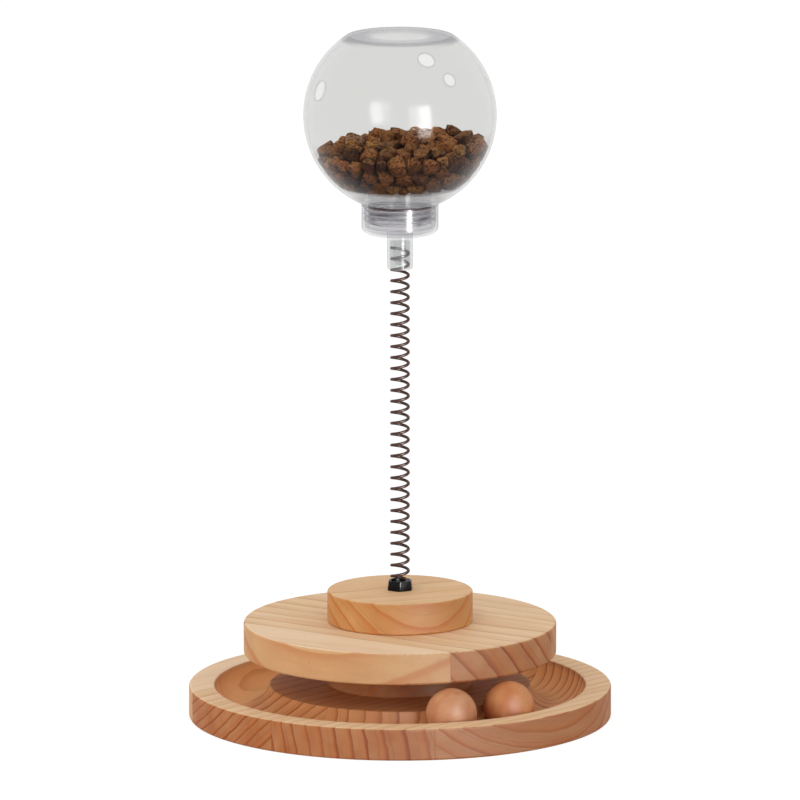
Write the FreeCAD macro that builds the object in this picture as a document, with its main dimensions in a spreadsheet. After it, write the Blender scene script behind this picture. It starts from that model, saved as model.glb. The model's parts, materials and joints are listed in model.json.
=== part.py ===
# Cat treat ball on a spring stand. Three pine discs stand on a pine base with a ball track,
# and a coil spring on top of them carries a clear globe that holds the treats.
# Millimetres, +Z up, -Y is the front. The origin is the centre of the base's underside.

import FreeCAD, Part
import Sketcher
import math
import os
import random

Vector = FreeCAD.Vector
UP = Vector(0, 0, 1)
FULL_TURN = 360
WIRE_SIDES = 6

# Driving dimensions: name, value, what it is.
SIZES = [
    ("board", 19, "thickness of the pine board that all four discs are cut from"),
    ("base_diameter", 250, "track base, across"),
    ("spacer_diameter", 86, "disc between the base and the paw disc, across"),
    ("upper_diameter", 185, "paw disc that roofs the inner half of the track, across"),
    ("top_diameter", 86, "small disc under the spring, across"),
    ("board_round", 1.4, "rounding of every sanded board edge"),
    ("track_inset", 31.4, "from the base's rim to the centreline of the ball track"),
    ("track_depth", 14, "depth of the track"),
    ("cutter_radius", 16.3, "radius of the round-nosed cutter that mills the track"),
    ("track_lip_round", 1.0, "rounding of the two lips of the track"),
    ("ball_diameter", 30, "wooden ball"),
    ("ball_gap", 0.3, "air under a ball, so that it rolls without rubbing"),
    ("ball_one_azimuth", -71.2, "degrees from +X, front ball"),
    ("ball_two_azimuth", -47.0, "degrees from +X, ball to the right of it"),
    ("wood_screw_shank", 4, "diameter of the wood screws"),
    ("wood_screw_head", 8, "diameter of their countersunk heads"),
    ("wood_screw_length", 32, "length of the wood screws"),
    ("wood_screw_sink", 0.4, "how far each head lies below the wood"),
    ("wood_screw_circle", 25, "radius of the circle that the wood screws stand on"),
    ("wood_screw_count", 3, "screws in each ring"),
    ("screw_ring_angle", 60, "degrees between the upper and the lower ring of screws"),
    ("screw_play", 0.05, "radial play of a screw in its pilot hole"),
    ("dowel_diameter", 8, "beech dowel between the paw disc and the top disc"),
    ("dowel_length", 24, "length of a dowel"),
    ("dowel_circle", 32, "radius of the circle that the dowels stand on"),
    ("dowel_azimuth", 30, "degrees from +X to the first dowel"),
    ("dowel_play", 0.05, "radial play of a dowel in its hole"),
    ("seat_across_flats", 14.4, "six-sided black spring seat, at its foot"),
    ("seat_height", 5.8, "height of the spring seat"),
    ("seat_draft", 6, "degrees that the sides of the seat lean in"),
    ("seat_floor", 0.9, "floor of the spring seat"),
    ("seat_crown", 0.8, "turned bevel round the top of the seat"),
    ("wire_diameter", 1.8, "spring wire"),
    ("coil_radius", 5.0, "from the axis to the middle of the wire in the free coils"),
    ("coil_pitch", 6.58, "rise of a free coil in one turn"),
    ("free_turns", 30.5, "turns from the seat to the top end of the wire"),
    ("seat_coil_radius", 4.15, "the drawn-in coil that the seat holds"),
    ("seat_coil_pitch", 2.35, "rise of the drawn-in coil in one turn"),
    ("seat_coil_turns", 1.25, "turns of wire inside the seat"),
    ("draw_in_turns", 0.5, "turns over which the free coil narrows to the drawn-in one"),
    ("arc_pair_turns", 0.25, "turns that one pair of arcs spans in the wire's path"),
    ("seat_coil_play", 0.2, "air between the drawn-in coil and the seat"),
    ("seat_screw_shank", 3.5, "pan head screw through the seat"),
    ("seat_screw_head", 5.8, "diameter of its head"),
    ("seat_screw_head_height", 2.2, "height of its head"),
    ("seat_screw_length", 28, "length of its shank"),
    ("washer_diameter", 6.1, "washer under the pan head"),
    ("washer_thickness", 0.8, "thickness of that washer"),
    ("stem_foot", 268.8, "height of the clear tube's mouth above the ground"),
    ("stem_length", 21.7, "clear tube below the cap"),
    ("stem_wall", 1.6, "wall of the clear tube"),
    ("stem_bore_depth", 16.5, "depth of its bore"),
    ("stem_bore_play", 0.15, "air between the coils and the bore"),
    ("stem_round", 1.5, "rounding of the tube's mouth"),
    ("plug_play", 0.2, "air between the coils and the plug inside them"),
    ("plug_length", 14, "plug that hangs inside the top coils"),
    ("cap_diameter", 45.3, "screw cap, across"),
    ("cap_height", 17.1, "height of the screw cap"),
    ("cap_wall", 1.3, "side wall of the cap"),
    ("cap_floor", 1.5, "floor of the cap"),
    ("cap_round", 4.0, "rounding of the cap's lower edge"),
    ("thread_gap", 0.6, "room between the neck and the cap, where the thread lies"),
    ("seat_gap", 0.3, "air between the globe and the cap"),
    ("globe_diameter", 113.8, "clear globe, across"),
    ("globe_wall", 1.5, "wall of the globe"),
    ("globe_flat_radius", 31, "flat crown of the globe"),
    ("globe_flat_round", 4.5, "rounding at the edge of the flat crown"),
    ("neck_wall", 2.1, "wall of the globe's neck"),
    ("floor_below_centre", 41.6, "from the globe's centre down to the treat floor"),
    ("floor_thickness", 1.2, "treat floor and the skirt below it"),
    ("floor_gap", 0.25, "air between the treat floor and the globe"),
    ("skirt_play", 0.15, "radial play of the skirt in the neck"),
    ("skirt_lift", 2.2, "from the neck's foot up to the skirt's foot"),
    ("left_hole_diameter", 12, "treat hole at the left"),
    ("left_hole_azimuth", 207.1, "degrees from +X"),
    ("left_hole_rise_angle", 19.6, "degrees above the globe's equator"),
    ("right_hole_diameter", 8, "treat hole at the right"),
    ("right_hole_azimuth", 306.5, "degrees from +X"),
    ("right_hole_rise_angle", 29.7, "degrees above the globe's equator"),
    ("back_hole_diameter", 10, "treat hole at the back"),
    ("back_hole_azimuth", 72, "degrees from +X"),
    ("back_hole_rise_angle", 26.1, "degrees above the globe's equator"),
    ("kibble_size", 12.4, "spacing of the pieces of kibble"),
    ("kibble_gap", 0.5, "air between two pieces of kibble"),
    ("kibble_depth", 26, "depth of the heap in the middle"),
    ("kibble_slope_angle", 7.2, "degrees that the heap rises to the right"),
]

# Lengths that follow from the driving dimensions: name, formula.
LEVELS = [
    ("spacer_foot", "Sizes.board"),
    ("upper_foot", "Sizes.board * 2"),
    ("top_foot", "Sizes.board * 3"),
    ("wood_top", "Sizes.board * 4"),
    ("track_radius", "Sizes.base_diameter / 2 - Sizes.track_inset"),
    ("track_bottom", "Sizes.board - Sizes.track_depth"),
    ("ball_centre", "Levels.track_bottom + Sizes.ball_gap + Sizes.ball_diameter / 2"),
    ("screw_cone", "(Sizes.wood_screw_head - Sizes.wood_screw_shank) / 2"),
    ("screw_hole", "Sizes.wood_screw_shank + Sizes.screw_play * 2"),
    ("screw_bite", "Sizes.wood_screw_length + Sizes.wood_screw_sink - Sizes.board + Sizes.screw_play"),
    ("seat_bore", "Sizes.seat_coil_radius + Sizes.wire_diameter / 2 + Sizes.seat_coil_play"),
    ("seat_hole", "Sizes.seat_screw_shank / 2 + Sizes.screw_play"),
    ("seat_screw_reach", "Sizes.seat_screw_length - Sizes.washer_thickness - Sizes.seat_floor"),
    ("seat_coil_start", "Levels.wood_top + Sizes.seat_floor + Sizes.wire_diameter / 2 + Sizes.screw_play"),
    ("coil_outside", "Sizes.coil_radius + Sizes.wire_diameter / 2"),
    ("coil_inside", "Sizes.coil_radius - Sizes.wire_diameter / 2"),
    ("stem_inside", "Levels.coil_outside + Sizes.stem_bore_play"),
    ("stem_outside", "Levels.stem_inside + Sizes.stem_wall"),
    ("cap_foot", "Sizes.stem_foot + Sizes.stem_length"),
    ("cap_inside", "Sizes.cap_diameter / 2 - Sizes.cap_wall"),
    ("neck_outside", "Levels.cap_inside - Sizes.thread_gap"),
    ("neck_inside", "Levels.neck_outside - Sizes.neck_wall"),
    ("cap_hollow_round", "Sizes.cap_round - Sizes.cap_wall"),
    ("neck_foot", "Levels.cap_foot + Sizes.cap_floor + Levels.cap_hollow_round"),
    ("globe_outside", "Sizes.globe_diameter / 2"),
    ("globe_inside", "Levels.globe_outside - Sizes.globe_wall"),
    ("shoulder_drop", "sqrt(Levels.globe_outside ^ 2 - Levels.cap_inside ^ 2)"),
    ("globe_centre", "Levels.cap_foot + Sizes.cap_height + Sizes.seat_gap + Levels.shoulder_drop"),
    ("globe_flat", "sqrt(Levels.globe_outside ^ 2 - Sizes.globe_flat_radius ^ 2)"),
    ("floor_top", "Levels.globe_centre - Sizes.floor_below_centre"),
]

doc = FreeCAD.newDocument("treat_ball")
sheet = doc.addObject("Spreadsheet::Sheet", "Sizes")
levels = doc.addObject("App::VarSet", "Levels")
probe = doc.addObject("App::VarSet", "Probe")
probe.addProperty("App::PropertyFloat", "amount")


def fill_sheet():
    """Write the driving dimensions into the sheet and derive the levels from them."""
    for row, (name, number, meaning) in enumerate(SIZES, start=1):
        sheet.set("A%d" % row, name)
        sheet.set("B%d" % row, str(number))
        sheet.set("C%d" % row, meaning)
        sheet.setAlias("B%d" % row, name)
    doc.recompute()
    for name, formula in LEVELS:
        levels.addProperty("App::PropertyFloat", name)
        levels.setExpression(name, formula)
        doc.recompute()


def size(name):
    """A driving dimension, read from the sheet."""
    return float(sheet.get(name))


def level(name):
    """A derived length."""
    return float(getattr(levels, name))


def plane(body, role):
    """One of the body's own origin planes or axes."""
    return next(feature for feature in body.Origin.OriginFeatures if feature.Role == role)


def new_body(label, height=None, several=False):
    """An empty body whose frame stands at a height above the ground."""
    body = doc.addObject("PartDesign::Body", label)
    body.Label = label
    body.AllowCompound = several
    if height:
        body.setExpression("Placement.Base.z", height)
    return body


def new_sketch(body, name, role, lift=None, out=None):
    """A sketch on an origin plane, lifted off it or moved out along its first axis."""
    sketch = body.newObject("Sketcher::SketchObject", name)
    sketch.AttachmentSupport = [(plane(body, role), "")]
    sketch.MapMode = "FlatFace"
    if lift:
        sketch.setExpression("AttachmentOffset.Base.z", lift)
    if out:
        sketch.setExpression("AttachmentOffset.Base.x", out)
    return sketch


def place_point(sketch, curve, end, across, rise):
    """Tie a sketch point to formulas for its two coordinates."""
    for kind, axis, formula in (("DistanceX", -2, across), ("DistanceY", -1, rise)):
        if formula == "0":
            sketch.addConstraint(Sketcher.Constraint("PointOnObject", curve, end, axis))
            continue
        index = sketch.addConstraint(Sketcher.Constraint(kind, -1, 1, curve, end, number(formula)))
        sketch.setExpression("Constraints[%d]" % index, formula)


def number(formula):
    """The present value of a formula in the driving and derived dimensions."""
    probe.setExpression("amount", formula)
    doc.recompute([probe])
    return float(probe.amount)


def outline(sketch, corners, bulges=None):
    """Close an outline through corners. A bulge is the centre and radius of an arc after a corner."""
    bulges = bulges or {}
    points = [Vector(number(across), number(rise), 0) for across, rise in corners]
    count = len(corners)
    for index in range(count):
        start = points[index]
        finish = points[(index + 1) % count]
        if index in bulges:
            sketch.addGeometry(arc_between(start, finish, *bulges[index]))
        else:
            sketch.addGeometry(Part.LineSegment(start, finish))
    ends = {}
    for index in range(count):
        clockwise = index in bulges and bulges[index][2] < 0
        ends[index] = (2, 1) if clockwise else (1, 2)
    for index in range(count):
        before = (index - 1) % count
        joint = Sketcher.Constraint("Coincident", before, ends[before][1], index, ends[index][0])
        sketch.addConstraint(joint)
    for index, (across, rise) in enumerate(corners):
        place_point(sketch, index, ends[index][0], across, rise)
    for index, (radius, *unused) in bulges.items():
        tie = sketch.addConstraint(Sketcher.Constraint("Radius", index, number(radius)))
        sketch.setExpression("Constraints[%d]" % tie, radius)


def arc_between(start, finish, radius, rise, turn):
    """An arc about a centre on the sketch's vertical axis, run in either direction."""
    centre = Vector(0, number(rise), 0)
    first = math.atan2(start.y - centre.y, start.x)
    last = math.atan2(finish.y - centre.y, finish.x)
    if turn < 0:
        first, last = last, first
    return Part.ArcOfCircle(Part.Circle(centre, UP, number(radius)), first, last)


def ring(sketch, radius, across="0", rise="0"):
    """A circle in a sketch."""
    centre = Vector(number(across), number(rise), 0)
    curve = sketch.addGeometry(Part.Circle(centre, UP, number(radius)))
    place_point(sketch, curve, 3, across, rise)
    tie = sketch.addConstraint(Sketcher.Constraint("Radius", curve, number(radius)))
    sketch.setExpression("Constraints[%d]" % tie, radius)


def turned(body, name, corners, kind="Revolution", bulges=None, out=None):
    """Turn an outline of radius and height about the body's axis, as metal or as a cut."""
    sketch = new_sketch(body, name + "_outline", "XZ_Plane", out=out)
    outline(sketch, corners, bulges)
    return spun(body, name, sketch, kind)


def spun(body, name, sketch, kind):
    """Revolve a sketch about its own vertical axis."""
    doc.recompute()
    before = body.Shape.Volume if kind == "Groove" else 0
    feature = body.newObject("PartDesign::" + kind, name)
    feature.Profile = sketch
    feature.ReferenceAxis = (sketch, ["V_Axis"])
    feature.Angle = FULL_TURN
    doc.recompute()
    if kind == "Groove" and body.Shape.Volume >= before:
        raise RuntimeError(name + " cuts nothing")
    return feature


def drilled(body, name, radius, depth, lift=None, across="0", rise="0", upward=False):
    """Drill a round hole down, or upward, from a level of the body."""
    sketch = new_sketch(body, name + "_circle", "XY_Plane", lift=lift)
    ring(sketch, radius, across, rise)
    doc.recompute()
    before = body.Shape.Volume
    pocket = body.newObject("PartDesign::Pocket", name)
    pocket.Profile = sketch
    pocket.Type = "Length"
    pocket.setExpression("Length", depth)
    pocket.Reversed = upward
    doc.recompute()
    if body.Shape.Volume >= before:
        raise RuntimeError(name + " cuts nothing")
    return pocket


def repeated(body, name, features, count):
    """Repeat features evenly round the body's axis."""
    pattern = body.newObject("PartDesign::PolarPattern", name)
    pattern.Originals = features
    pattern.Axis = (plane(body, "Z_Axis"), [""])
    pattern.Angle = FULL_TURN
    pattern.setExpression("Occurrences", count)
    body.Tip = pattern
    doc.recompute()


def softened(body, name, amount, wanted, kind="Fillet"):
    """Round or bevel the round edges that a test of radius and height picks."""
    doc.recompute()
    names = []
    for index, edge in enumerate(body.Tip.Shape.Edges, start=1):
        if isinstance(edge.Curve, Part.Circle) and edge.Closed:
            if wanted(edge.Curve.Radius, edge.Curve.Center.z):
                names.append("Edge%d" % index)
    if not names:
        raise RuntimeError(name + " finds no edge")
    before = body.Tip
    feature = body.newObject("PartDesign::" + kind, name)
    feature.Base = (before, names)
    feature.setExpression("Radius" if kind == "Fillet" else "Size", amount)
    doc.recompute()


def near(first, second):
    """Whether two lengths are the same to the eye of the kernel."""
    return abs(first - second) < 1e-4


def disc(label, foot, diameter):
    """A sanded pine disc, one board thick, with both edges rounded."""
    body = new_body(label, foot)
    radius = diameter + " / 2"
    turned(body, "board", [("0", "0"), (radius, "0"), (radius, "Sizes.board"), ("0", "Sizes.board")])
    rim = number(radius)
    softened(body, "sanded_edge", "Sizes.board_round", lambda round_radius, height: near(round_radius, rim))
    return body


def pilot_holes(body, name, azimuth, lift, upward):
    """Blind holes for the tips of a ring of wood screws."""
    hole = drilled(
        body, name, "Levels.screw_hole / 2", "Levels.screw_bite", lift,
        "Sizes.wood_screw_circle * cos(%s)" % azimuth,
        "Sizes.wood_screw_circle * sin(%s)" % azimuth, upward)
    repeated(body, name + "_ring", [hole], "Sizes.wood_screw_count")


def countersunk_holes(body, name, azimuth, lift, upward):
    """Through holes with a cone for each screw head, sunk below the wood."""
    sketch = new_sketch(body, name + "_circle", "XY_Plane", lift=lift)
    ring(
        sketch, "Levels.screw_hole / 2",
        "Sizes.wood_screw_circle * cos(%s)" % azimuth,
        "Sizes.wood_screw_circle * sin(%s)" % azimuth)
    doc.recompute()
    before = body.Shape.Volume
    hole = body.newObject("PartDesign::Hole", name)
    hole.Profile = sketch
    hole.DepthType = "ThroughAll"
    hole.ThreadType = 0
    hole.setExpression("Diameter", "Levels.screw_hole")
    hole.HoleCutType = "Countersink"
    hole.HoleCutCustomValues = True
    hole.setExpression("HoleCutDiameter", "Sizes.wood_screw_head + (Sizes.wood_screw_sink + Sizes.screw_play) * 2")
    hole.HoleCutCountersinkAngle = 90
    hole.DrillPoint = "Flat"
    hole.Reversed = upward
    doc.recompute()
    if body.Shape.Volume >= before:
        raise RuntimeError(name + " cuts nothing")
    repeated(body, name + "_ring", [hole], "Sizes.wood_screw_count")


def wood_screws(label, foot, azimuth, upward):
    """A ring of countersunk wood screws as separate solids. They point up, or down from foot."""
    body = new_body(label, foot, several=True)
    head = "Sizes.wood_screw_head / 2"
    shank = "Sizes.wood_screw_shank / 2"
    way = "" if upward else "-"
    sink = "%sSizes.wood_screw_sink" % way
    corners = [
        ("0", sink),
        (head, sink),
        (shank, "%s(Sizes.wood_screw_sink + Levels.screw_cone)" % way),
        (shank, "%s(Sizes.wood_screw_length + Sizes.wood_screw_sink - Sizes.wood_screw_shank)" % way),
        ("0", "%s(Sizes.wood_screw_length + Sizes.wood_screw_sink)" % way),
    ]
    screw = turned(body, "screw", corners, out="Sizes.wood_screw_circle")
    repeated(body, "screw_ring", [screw], "Sizes.wood_screw_count")
    body.setExpression("Placement.Rotation.Yaw", azimuth)
    doc.recompute()
    return body


def track_base():
    """The round base board with the half-round ball track milled into it."""
    body = disc("track_base", None, "Sizes.base_diameter")
    sketch = new_sketch(body, "track_cutter", "XZ_Plane")
    ring(sketch, "Sizes.cutter_radius", "Levels.track_radius", "Levels.track_bottom + Sizes.cutter_radius")
    spun(body, "track", sketch, "Groove")
    board = size("board")
    inner = size("base_diameter") / 2 - size("board_round") - size("track_lip_round")
    softened(
        body, "track_lips", "Sizes.track_lip_round",
        lambda radius, height: near(height, board) and radius < inner)
    countersunk_holes(body, "screw_holes", "0", None, True)
    return body


def spacer_disc():
    """The small disc that lifts the paw disc over the balls."""
    body = disc("spacer_disc", "Levels.spacer_foot", "Sizes.spacer_diameter")
    pilot_holes(body, "lower_pilots", "0", None, True)
    pilot_holes(body, "upper_pilots", "Sizes.screw_ring_angle", "Sizes.board", False)
    return body


def upper_disc():
    """The wide disc that roofs the inner half of the track."""
    body = disc("upper_disc", "Levels.upper_foot", "Sizes.upper_diameter")
    countersunk_holes(body, "screw_holes", "Sizes.screw_ring_angle", "Sizes.board", False)
    seat_pilot = "Levels.seat_screw_reach - Sizes.board + Sizes.screw_play"
    drilled(body, "seat_pilot", "Levels.seat_hole", seat_pilot, "Sizes.board")
    dowel_holes(body, "Sizes.board", False)
    return body


def top_disc():
    """The small disc on top, which the spring seat is screwed to."""
    body = disc("top_disc", "Levels.top_foot", "Sizes.top_diameter")
    drilled(body, "seat_pilot", "Levels.seat_hole", "Sizes.board", "Sizes.board")
    dowel_holes(body, None, True)
    return body


def dowel_holes(body, lift, upward):
    """Two blind holes for the dowels."""
    hole = drilled(
        body, "dowel_hole", "Sizes.dowel_diameter / 2 + Sizes.dowel_play",
        "Sizes.dowel_length / 2 + Sizes.dowel_play", lift,
        "Sizes.dowel_circle * cos(Sizes.dowel_azimuth)",
        "Sizes.dowel_circle * sin(Sizes.dowel_azimuth)", upward)
    repeated(body, "dowel_holes", [hole], "2")


def dowel_pins():
    """Two bevelled beech dowels as separate solids, half in each disc."""
    body = new_body("dowel_pins", "Levels.top_foot", several=True)
    radius = "Sizes.dowel_diameter / 2"
    half = "Sizes.dowel_length / 2"
    bevel = "Sizes.dowel_diameter / 8"
    corners = [
        ("0", "-" + half), (radius + " - " + bevel, "-" + half), (radius, "-%s + %s" % (half, bevel)),
        (radius, "%s - %s" % (half, bevel)), (radius + " - " + bevel, half), ("0", half),
    ]
    pin = turned(body, "pin", corners, out="Sizes.dowel_circle")
    repeated(body, "pins", [pin], "2")
    body.setExpression("Placement.Rotation.Yaw", "Sizes.dowel_azimuth")
    return body


def ball(label, azimuth):
    """A wooden ball in the track."""
    sphere = doc.addObject("Part::Sphere", label)
    sphere.Label = label
    sphere.setExpression("Radius", "Sizes.ball_diameter / 2")
    sphere.setExpression("Placement.Base.x", "Levels.track_radius * cos(%s)" % azimuth)
    sphere.setExpression("Placement.Base.y", "Levels.track_radius * sin(%s)" % azimuth)
    sphere.setExpression("Placement.Base.z", "Levels.ball_centre")
    return sphere


def spring_seat():
    """The black six-sided socket that holds the foot of the spring."""
    body = new_body("spring_seat", "Levels.wood_top")
    sketch = new_sketch(body, "hexagon", "XY_Plane")
    circle = "Sizes.seat_across_flats / 2 / cos(30)"
    radius = number(circle)
    turns = [math.radians(60 * side - 94) for side in range(6)]
    corners = [Vector(radius * math.cos(turn), radius * math.sin(turn), 0) for turn in turns]
    for side in range(6):
        sketch.addGeometry(Part.LineSegment(corners[side], corners[(side + 1) % 6]))
    sketch.addGeometry(Part.Circle(Vector(0, 0, 0), UP, radius), True)
    sketch.addConstraint(Sketcher.Constraint("Coincident", 6, 3, -1, 1))
    for side in range(6):
        sketch.addConstraint(Sketcher.Constraint("Coincident", (side - 1) % 6, 2, side, 1))
        sketch.addConstraint(Sketcher.Constraint("PointOnObject", side, 1, 6))
    for side in range(5):
        sketch.addConstraint(Sketcher.Constraint("Equal", side, side + 1))
    tie = sketch.addConstraint(Sketcher.Constraint("Radius", 6, radius))
    sketch.setExpression("Constraints[%d]" % tie, circle)
    pad = body.newObject("PartDesign::Pad", "hexagonal_ring")
    pad.Profile = sketch
    pad.setExpression("Length", "Sizes.seat_height")
    pad.setExpression("TaperAngle", "-Sizes.seat_draft")
    doc.recompute()
    top_flat = "(Sizes.seat_across_flats / 2 - Sizes.seat_height * tan(Sizes.seat_draft))"
    far = "Sizes.seat_across_flats"
    crown = [
        (top_flat, "Sizes.seat_height"),
        (top_flat + " + Sizes.seat_crown", "Sizes.seat_height - Sizes.seat_crown"),
        (far, "Sizes.seat_height - Sizes.seat_crown"),
        (far, "Sizes.seat_height"),
    ]
    turned(body, "crown", crown, "Groove")
    bore = "Levels.seat_bore"
    bevel = "Sizes.seat_crown / 2"
    socket = [
        ("0", "Sizes.seat_floor"), (bore, "Sizes.seat_floor"),
        (bore, "Sizes.seat_height - " + bevel), (bore + " + " + bevel, "Sizes.seat_height"),
        ("0", "Sizes.seat_height"),
    ]
    turned(body, "socket", socket, "Groove")
    drilled(body, "screw_hole", "Levels.seat_hole", "Sizes.seat_floor", None, upward=True)
    return body


def seat_washer():
    """The plain washer on the floor of the spring seat."""
    body = new_body("seat_washer", "Levels.wood_top + Sizes.seat_floor")
    inside = "Levels.seat_hole"
    outside = "Sizes.washer_diameter / 2"
    top = "Sizes.washer_thickness"
    turned(body, "washer", [(inside, "0"), (outside, "0"), (outside, top), (inside, top)])
    return body


def seat_screw():
    """The pan head screw that holds the seat down, through the top disc into the paw disc."""
    body = new_body("seat_screw", "Levels.wood_top + Sizes.seat_floor + Sizes.washer_thickness")
    head = "Sizes.seat_screw_head / 2"
    shank = "Sizes.seat_screw_shank / 2"
    length = "Sizes.seat_screw_length"
    height = "Sizes.seat_screw_head_height"
    corners = [
        ("0", "-" + length), (shank, "-%s + Sizes.seat_screw_shank" % length), (shank, "0"),
        (head, "0"), (head, height + " / 3"), (head + " * 0.7", height), ("0", height),
    ]
    turned(body, "pan_head_screw", corners)
    return body


def stem():
    """The clear tube under the cap, whose bore takes the top coils."""
    body = new_body("stem", "Sizes.stem_foot")
    bore = "Levels.stem_inside"
    outside = "Levels.stem_outside"
    corners = [
        (bore, "0"), (outside, "0"), (outside, "Sizes.stem_length"), ("0", "Sizes.stem_length"),
        ("0", "Sizes.stem_bore_depth"), (bore, "Sizes.stem_bore_depth"),
    ]
    turned(body, "tube", corners)
    rim = level("stem_outside")
    softened(
        body, "mouth", "min(Sizes.stem_round; Sizes.stem_wall * 0.95)",
        lambda radius, height: near(radius, rim) and near(height, 0))
    return body


def spring_plug():
    """The clear plug inside the top coils, which keeps them round in the tube."""
    body = new_body("spring_plug", "Sizes.stem_foot + Sizes.stem_bore_depth")
    radius = "Levels.coil_inside - Sizes.plug_play"
    length = "Sizes.plug_length"
    tip = "(%s) / 2" % radius
    corners = [("0", "0"), (radius, "0"), (radius, "-%s + %s" % (length, tip)), (tip, "-" + length), ("0", "-" + length)]
    turned(body, "plug", corners)
    return body


def screw_cap():
    """The clear cap that the globe's neck screws into."""
    body = new_body("screw_cap", "Levels.cap_foot")
    outside = "Sizes.cap_diameter / 2"
    inside = "Levels.cap_inside"
    floor = "Sizes.cap_floor"
    top = "Sizes.cap_height"
    corners = [("0", "0"), (outside, "0"), (outside, top), (inside, top), (inside, floor), ("0", floor)]
    turned(body, "cup", corners)
    rim = size("cap_diameter") / 2
    softened(
        body, "lower_edge", "Sizes.cap_round",
        lambda radius, height: near(radius, rim) and near(height, 0))
    hollow = level("cap_inside")
    bottom = size("cap_floor")
    softened(
        body, "hollow_corner", "Levels.cap_hollow_round",
        lambda radius, height: near(radius, hollow) and near(height, bottom))
    return body


def treat_globe():
    """The clear globe with its neck, its flat crown and the three treat holes."""
    body = new_body("globe_blank", "Levels.globe_centre")
    neck_end = "Levels.neck_foot - Levels.globe_centre"
    for name, kind, globe, neck, flat_drop in (
            ("blown_globe", "Revolution", "Levels.globe_outside", "Levels.neck_outside", "0"),
            ("hollow", "Groove", "Levels.globe_inside", "Levels.neck_inside", "Sizes.globe_wall")):
        crown = "(Levels.globe_flat - %s)" % flat_drop
        corners = [
            ("0", neck_end), (neck, neck_end), (neck, "-sqrt((%s) ^ 2 - (%s) ^ 2)" % (globe, neck)),
            ("sqrt((%s) ^ 2 - %s ^ 2)" % (globe, crown), crown), ("0", crown),
        ]
        turned(body, name, corners, kind, {2: (globe, "0", 1)})
        edge = number(corners[3][0])
        height = number(corners[3][1])
        round_size = "Sizes.globe_flat_round - " + flat_drop
        softened(
            body, name + "_crown", round_size,
            lambda radius, rise: near(radius, edge) and near(rise, height))
    holes = []
    for side in ("left", "right", "back"):
        drill = doc.addObject("Part::Cylinder", side + "_drill")
        drill.setExpression("Radius", "Sizes.%s_hole_diameter / 2" % side)
        drill.setExpression("Height", "Levels.globe_outside")
        drill.Placement = FreeCAD.Placement(
            Vector(0, 0, level("globe_centre")),
            FreeCAD.Rotation(size(side + "_hole_azimuth"), 90 - size(side + "_hole_rise_angle"), 0))
        holes.append(drill)
    drills = doc.addObject("Part::MultiFuse", "drills")
    drills.Shapes = holes
    globe = doc.addObject("Part::Cut", "treat_globe")
    globe.Label = "treat_globe"
    globe.Base = body
    globe.Tool = drills
    doc.recompute()
    return globe


def treat_floor():
    """The clear floor that closes the neck and carries the treats, with its skirt."""
    body = new_body("treat_floor", "Levels.floor_top")
    below = "Sizes.floor_below_centre"
    thick = "Sizes.floor_thickness"
    rim = "sqrt(Levels.globe_inside ^ 2 - (%s) ^ 2) - Sizes.floor_gap"
    skirt = "Levels.neck_inside - Sizes.skirt_play"
    foot = "Levels.neck_foot + Sizes.skirt_lift - Levels.floor_top"
    corners = [
        ("0", "0"), (rim % below, "0"), (rim % (below + " + " + thick), "-" + thick), (skirt, "-" + thick),
        (skirt, foot), (skirt + " - " + thick, foot), (skirt + " - " + thick, "-" + thick), ("0", "-" + thick),
    ]
    turned(body, "floor", corners)
    return body


def wire_station(turn):
    """Radius and height of the wire's middle after some turns from its foot in the seat."""
    seat_turns = size("seat_coil_turns")
    share = min(max((turn - seat_turns) / size("draw_in_turns"), 0), 1)
    radius = size("seat_coil_radius") * (1 - share) + size("coil_radius") * share
    closed = min(turn, seat_turns)
    height = level("seat_coil_start") + closed * size("seat_coil_pitch")
    return radius, height + (turn - closed) * size("coil_pitch")


def wire_point(turn):
    """The wire's middle. It leaves the seat at +X and climbs to the left behind the axis."""
    radius, height = wire_station(turn)
    angle = 2 * math.pi * (turn - size("seat_coil_turns"))
    return Vector(radius * math.cos(angle), radius * math.sin(angle), height)


def wire_direction(turn, last):
    """The direction in which the wire runs."""
    step = 0.02
    ahead = min(turn + step, last)
    behind = max(turn - step, 0)
    return (wire_point(ahead) - wire_point(behind)).normalize()


def tangent_arc(start, direction, finish):
    """The arc that leaves start in a direction and ends at finish."""
    chord = finish - start
    side = direction.cross(chord).normalize().cross(direction)
    radius = chord.Length ** 2 / (2 * chord.dot(side))
    centre = start + side * radius
    middle = ((start + finish) * 0.5 - centre).normalize()
    return Part.Arc(start, centre + middle * radius, finish)


def biarc(start, first, finish, last):
    """Two arcs that join two points and are tangent to their directions and to each other."""
    span = finish - start
    bend = 2 * (1 - first.dot(last))
    reach = 2 * span.dot(first + last)
    leg = (math.sqrt(reach ** 2 + 4 * bend * span.dot(span)) - reach) / (2 * bend)
    before = start + first * leg
    after = finish - last * leg
    meeting = (before + after) * 0.5
    return [
        tangent_arc(start, first, meeting),
        tangent_arc(meeting, (after - before).normalize(), finish),
    ]


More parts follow.
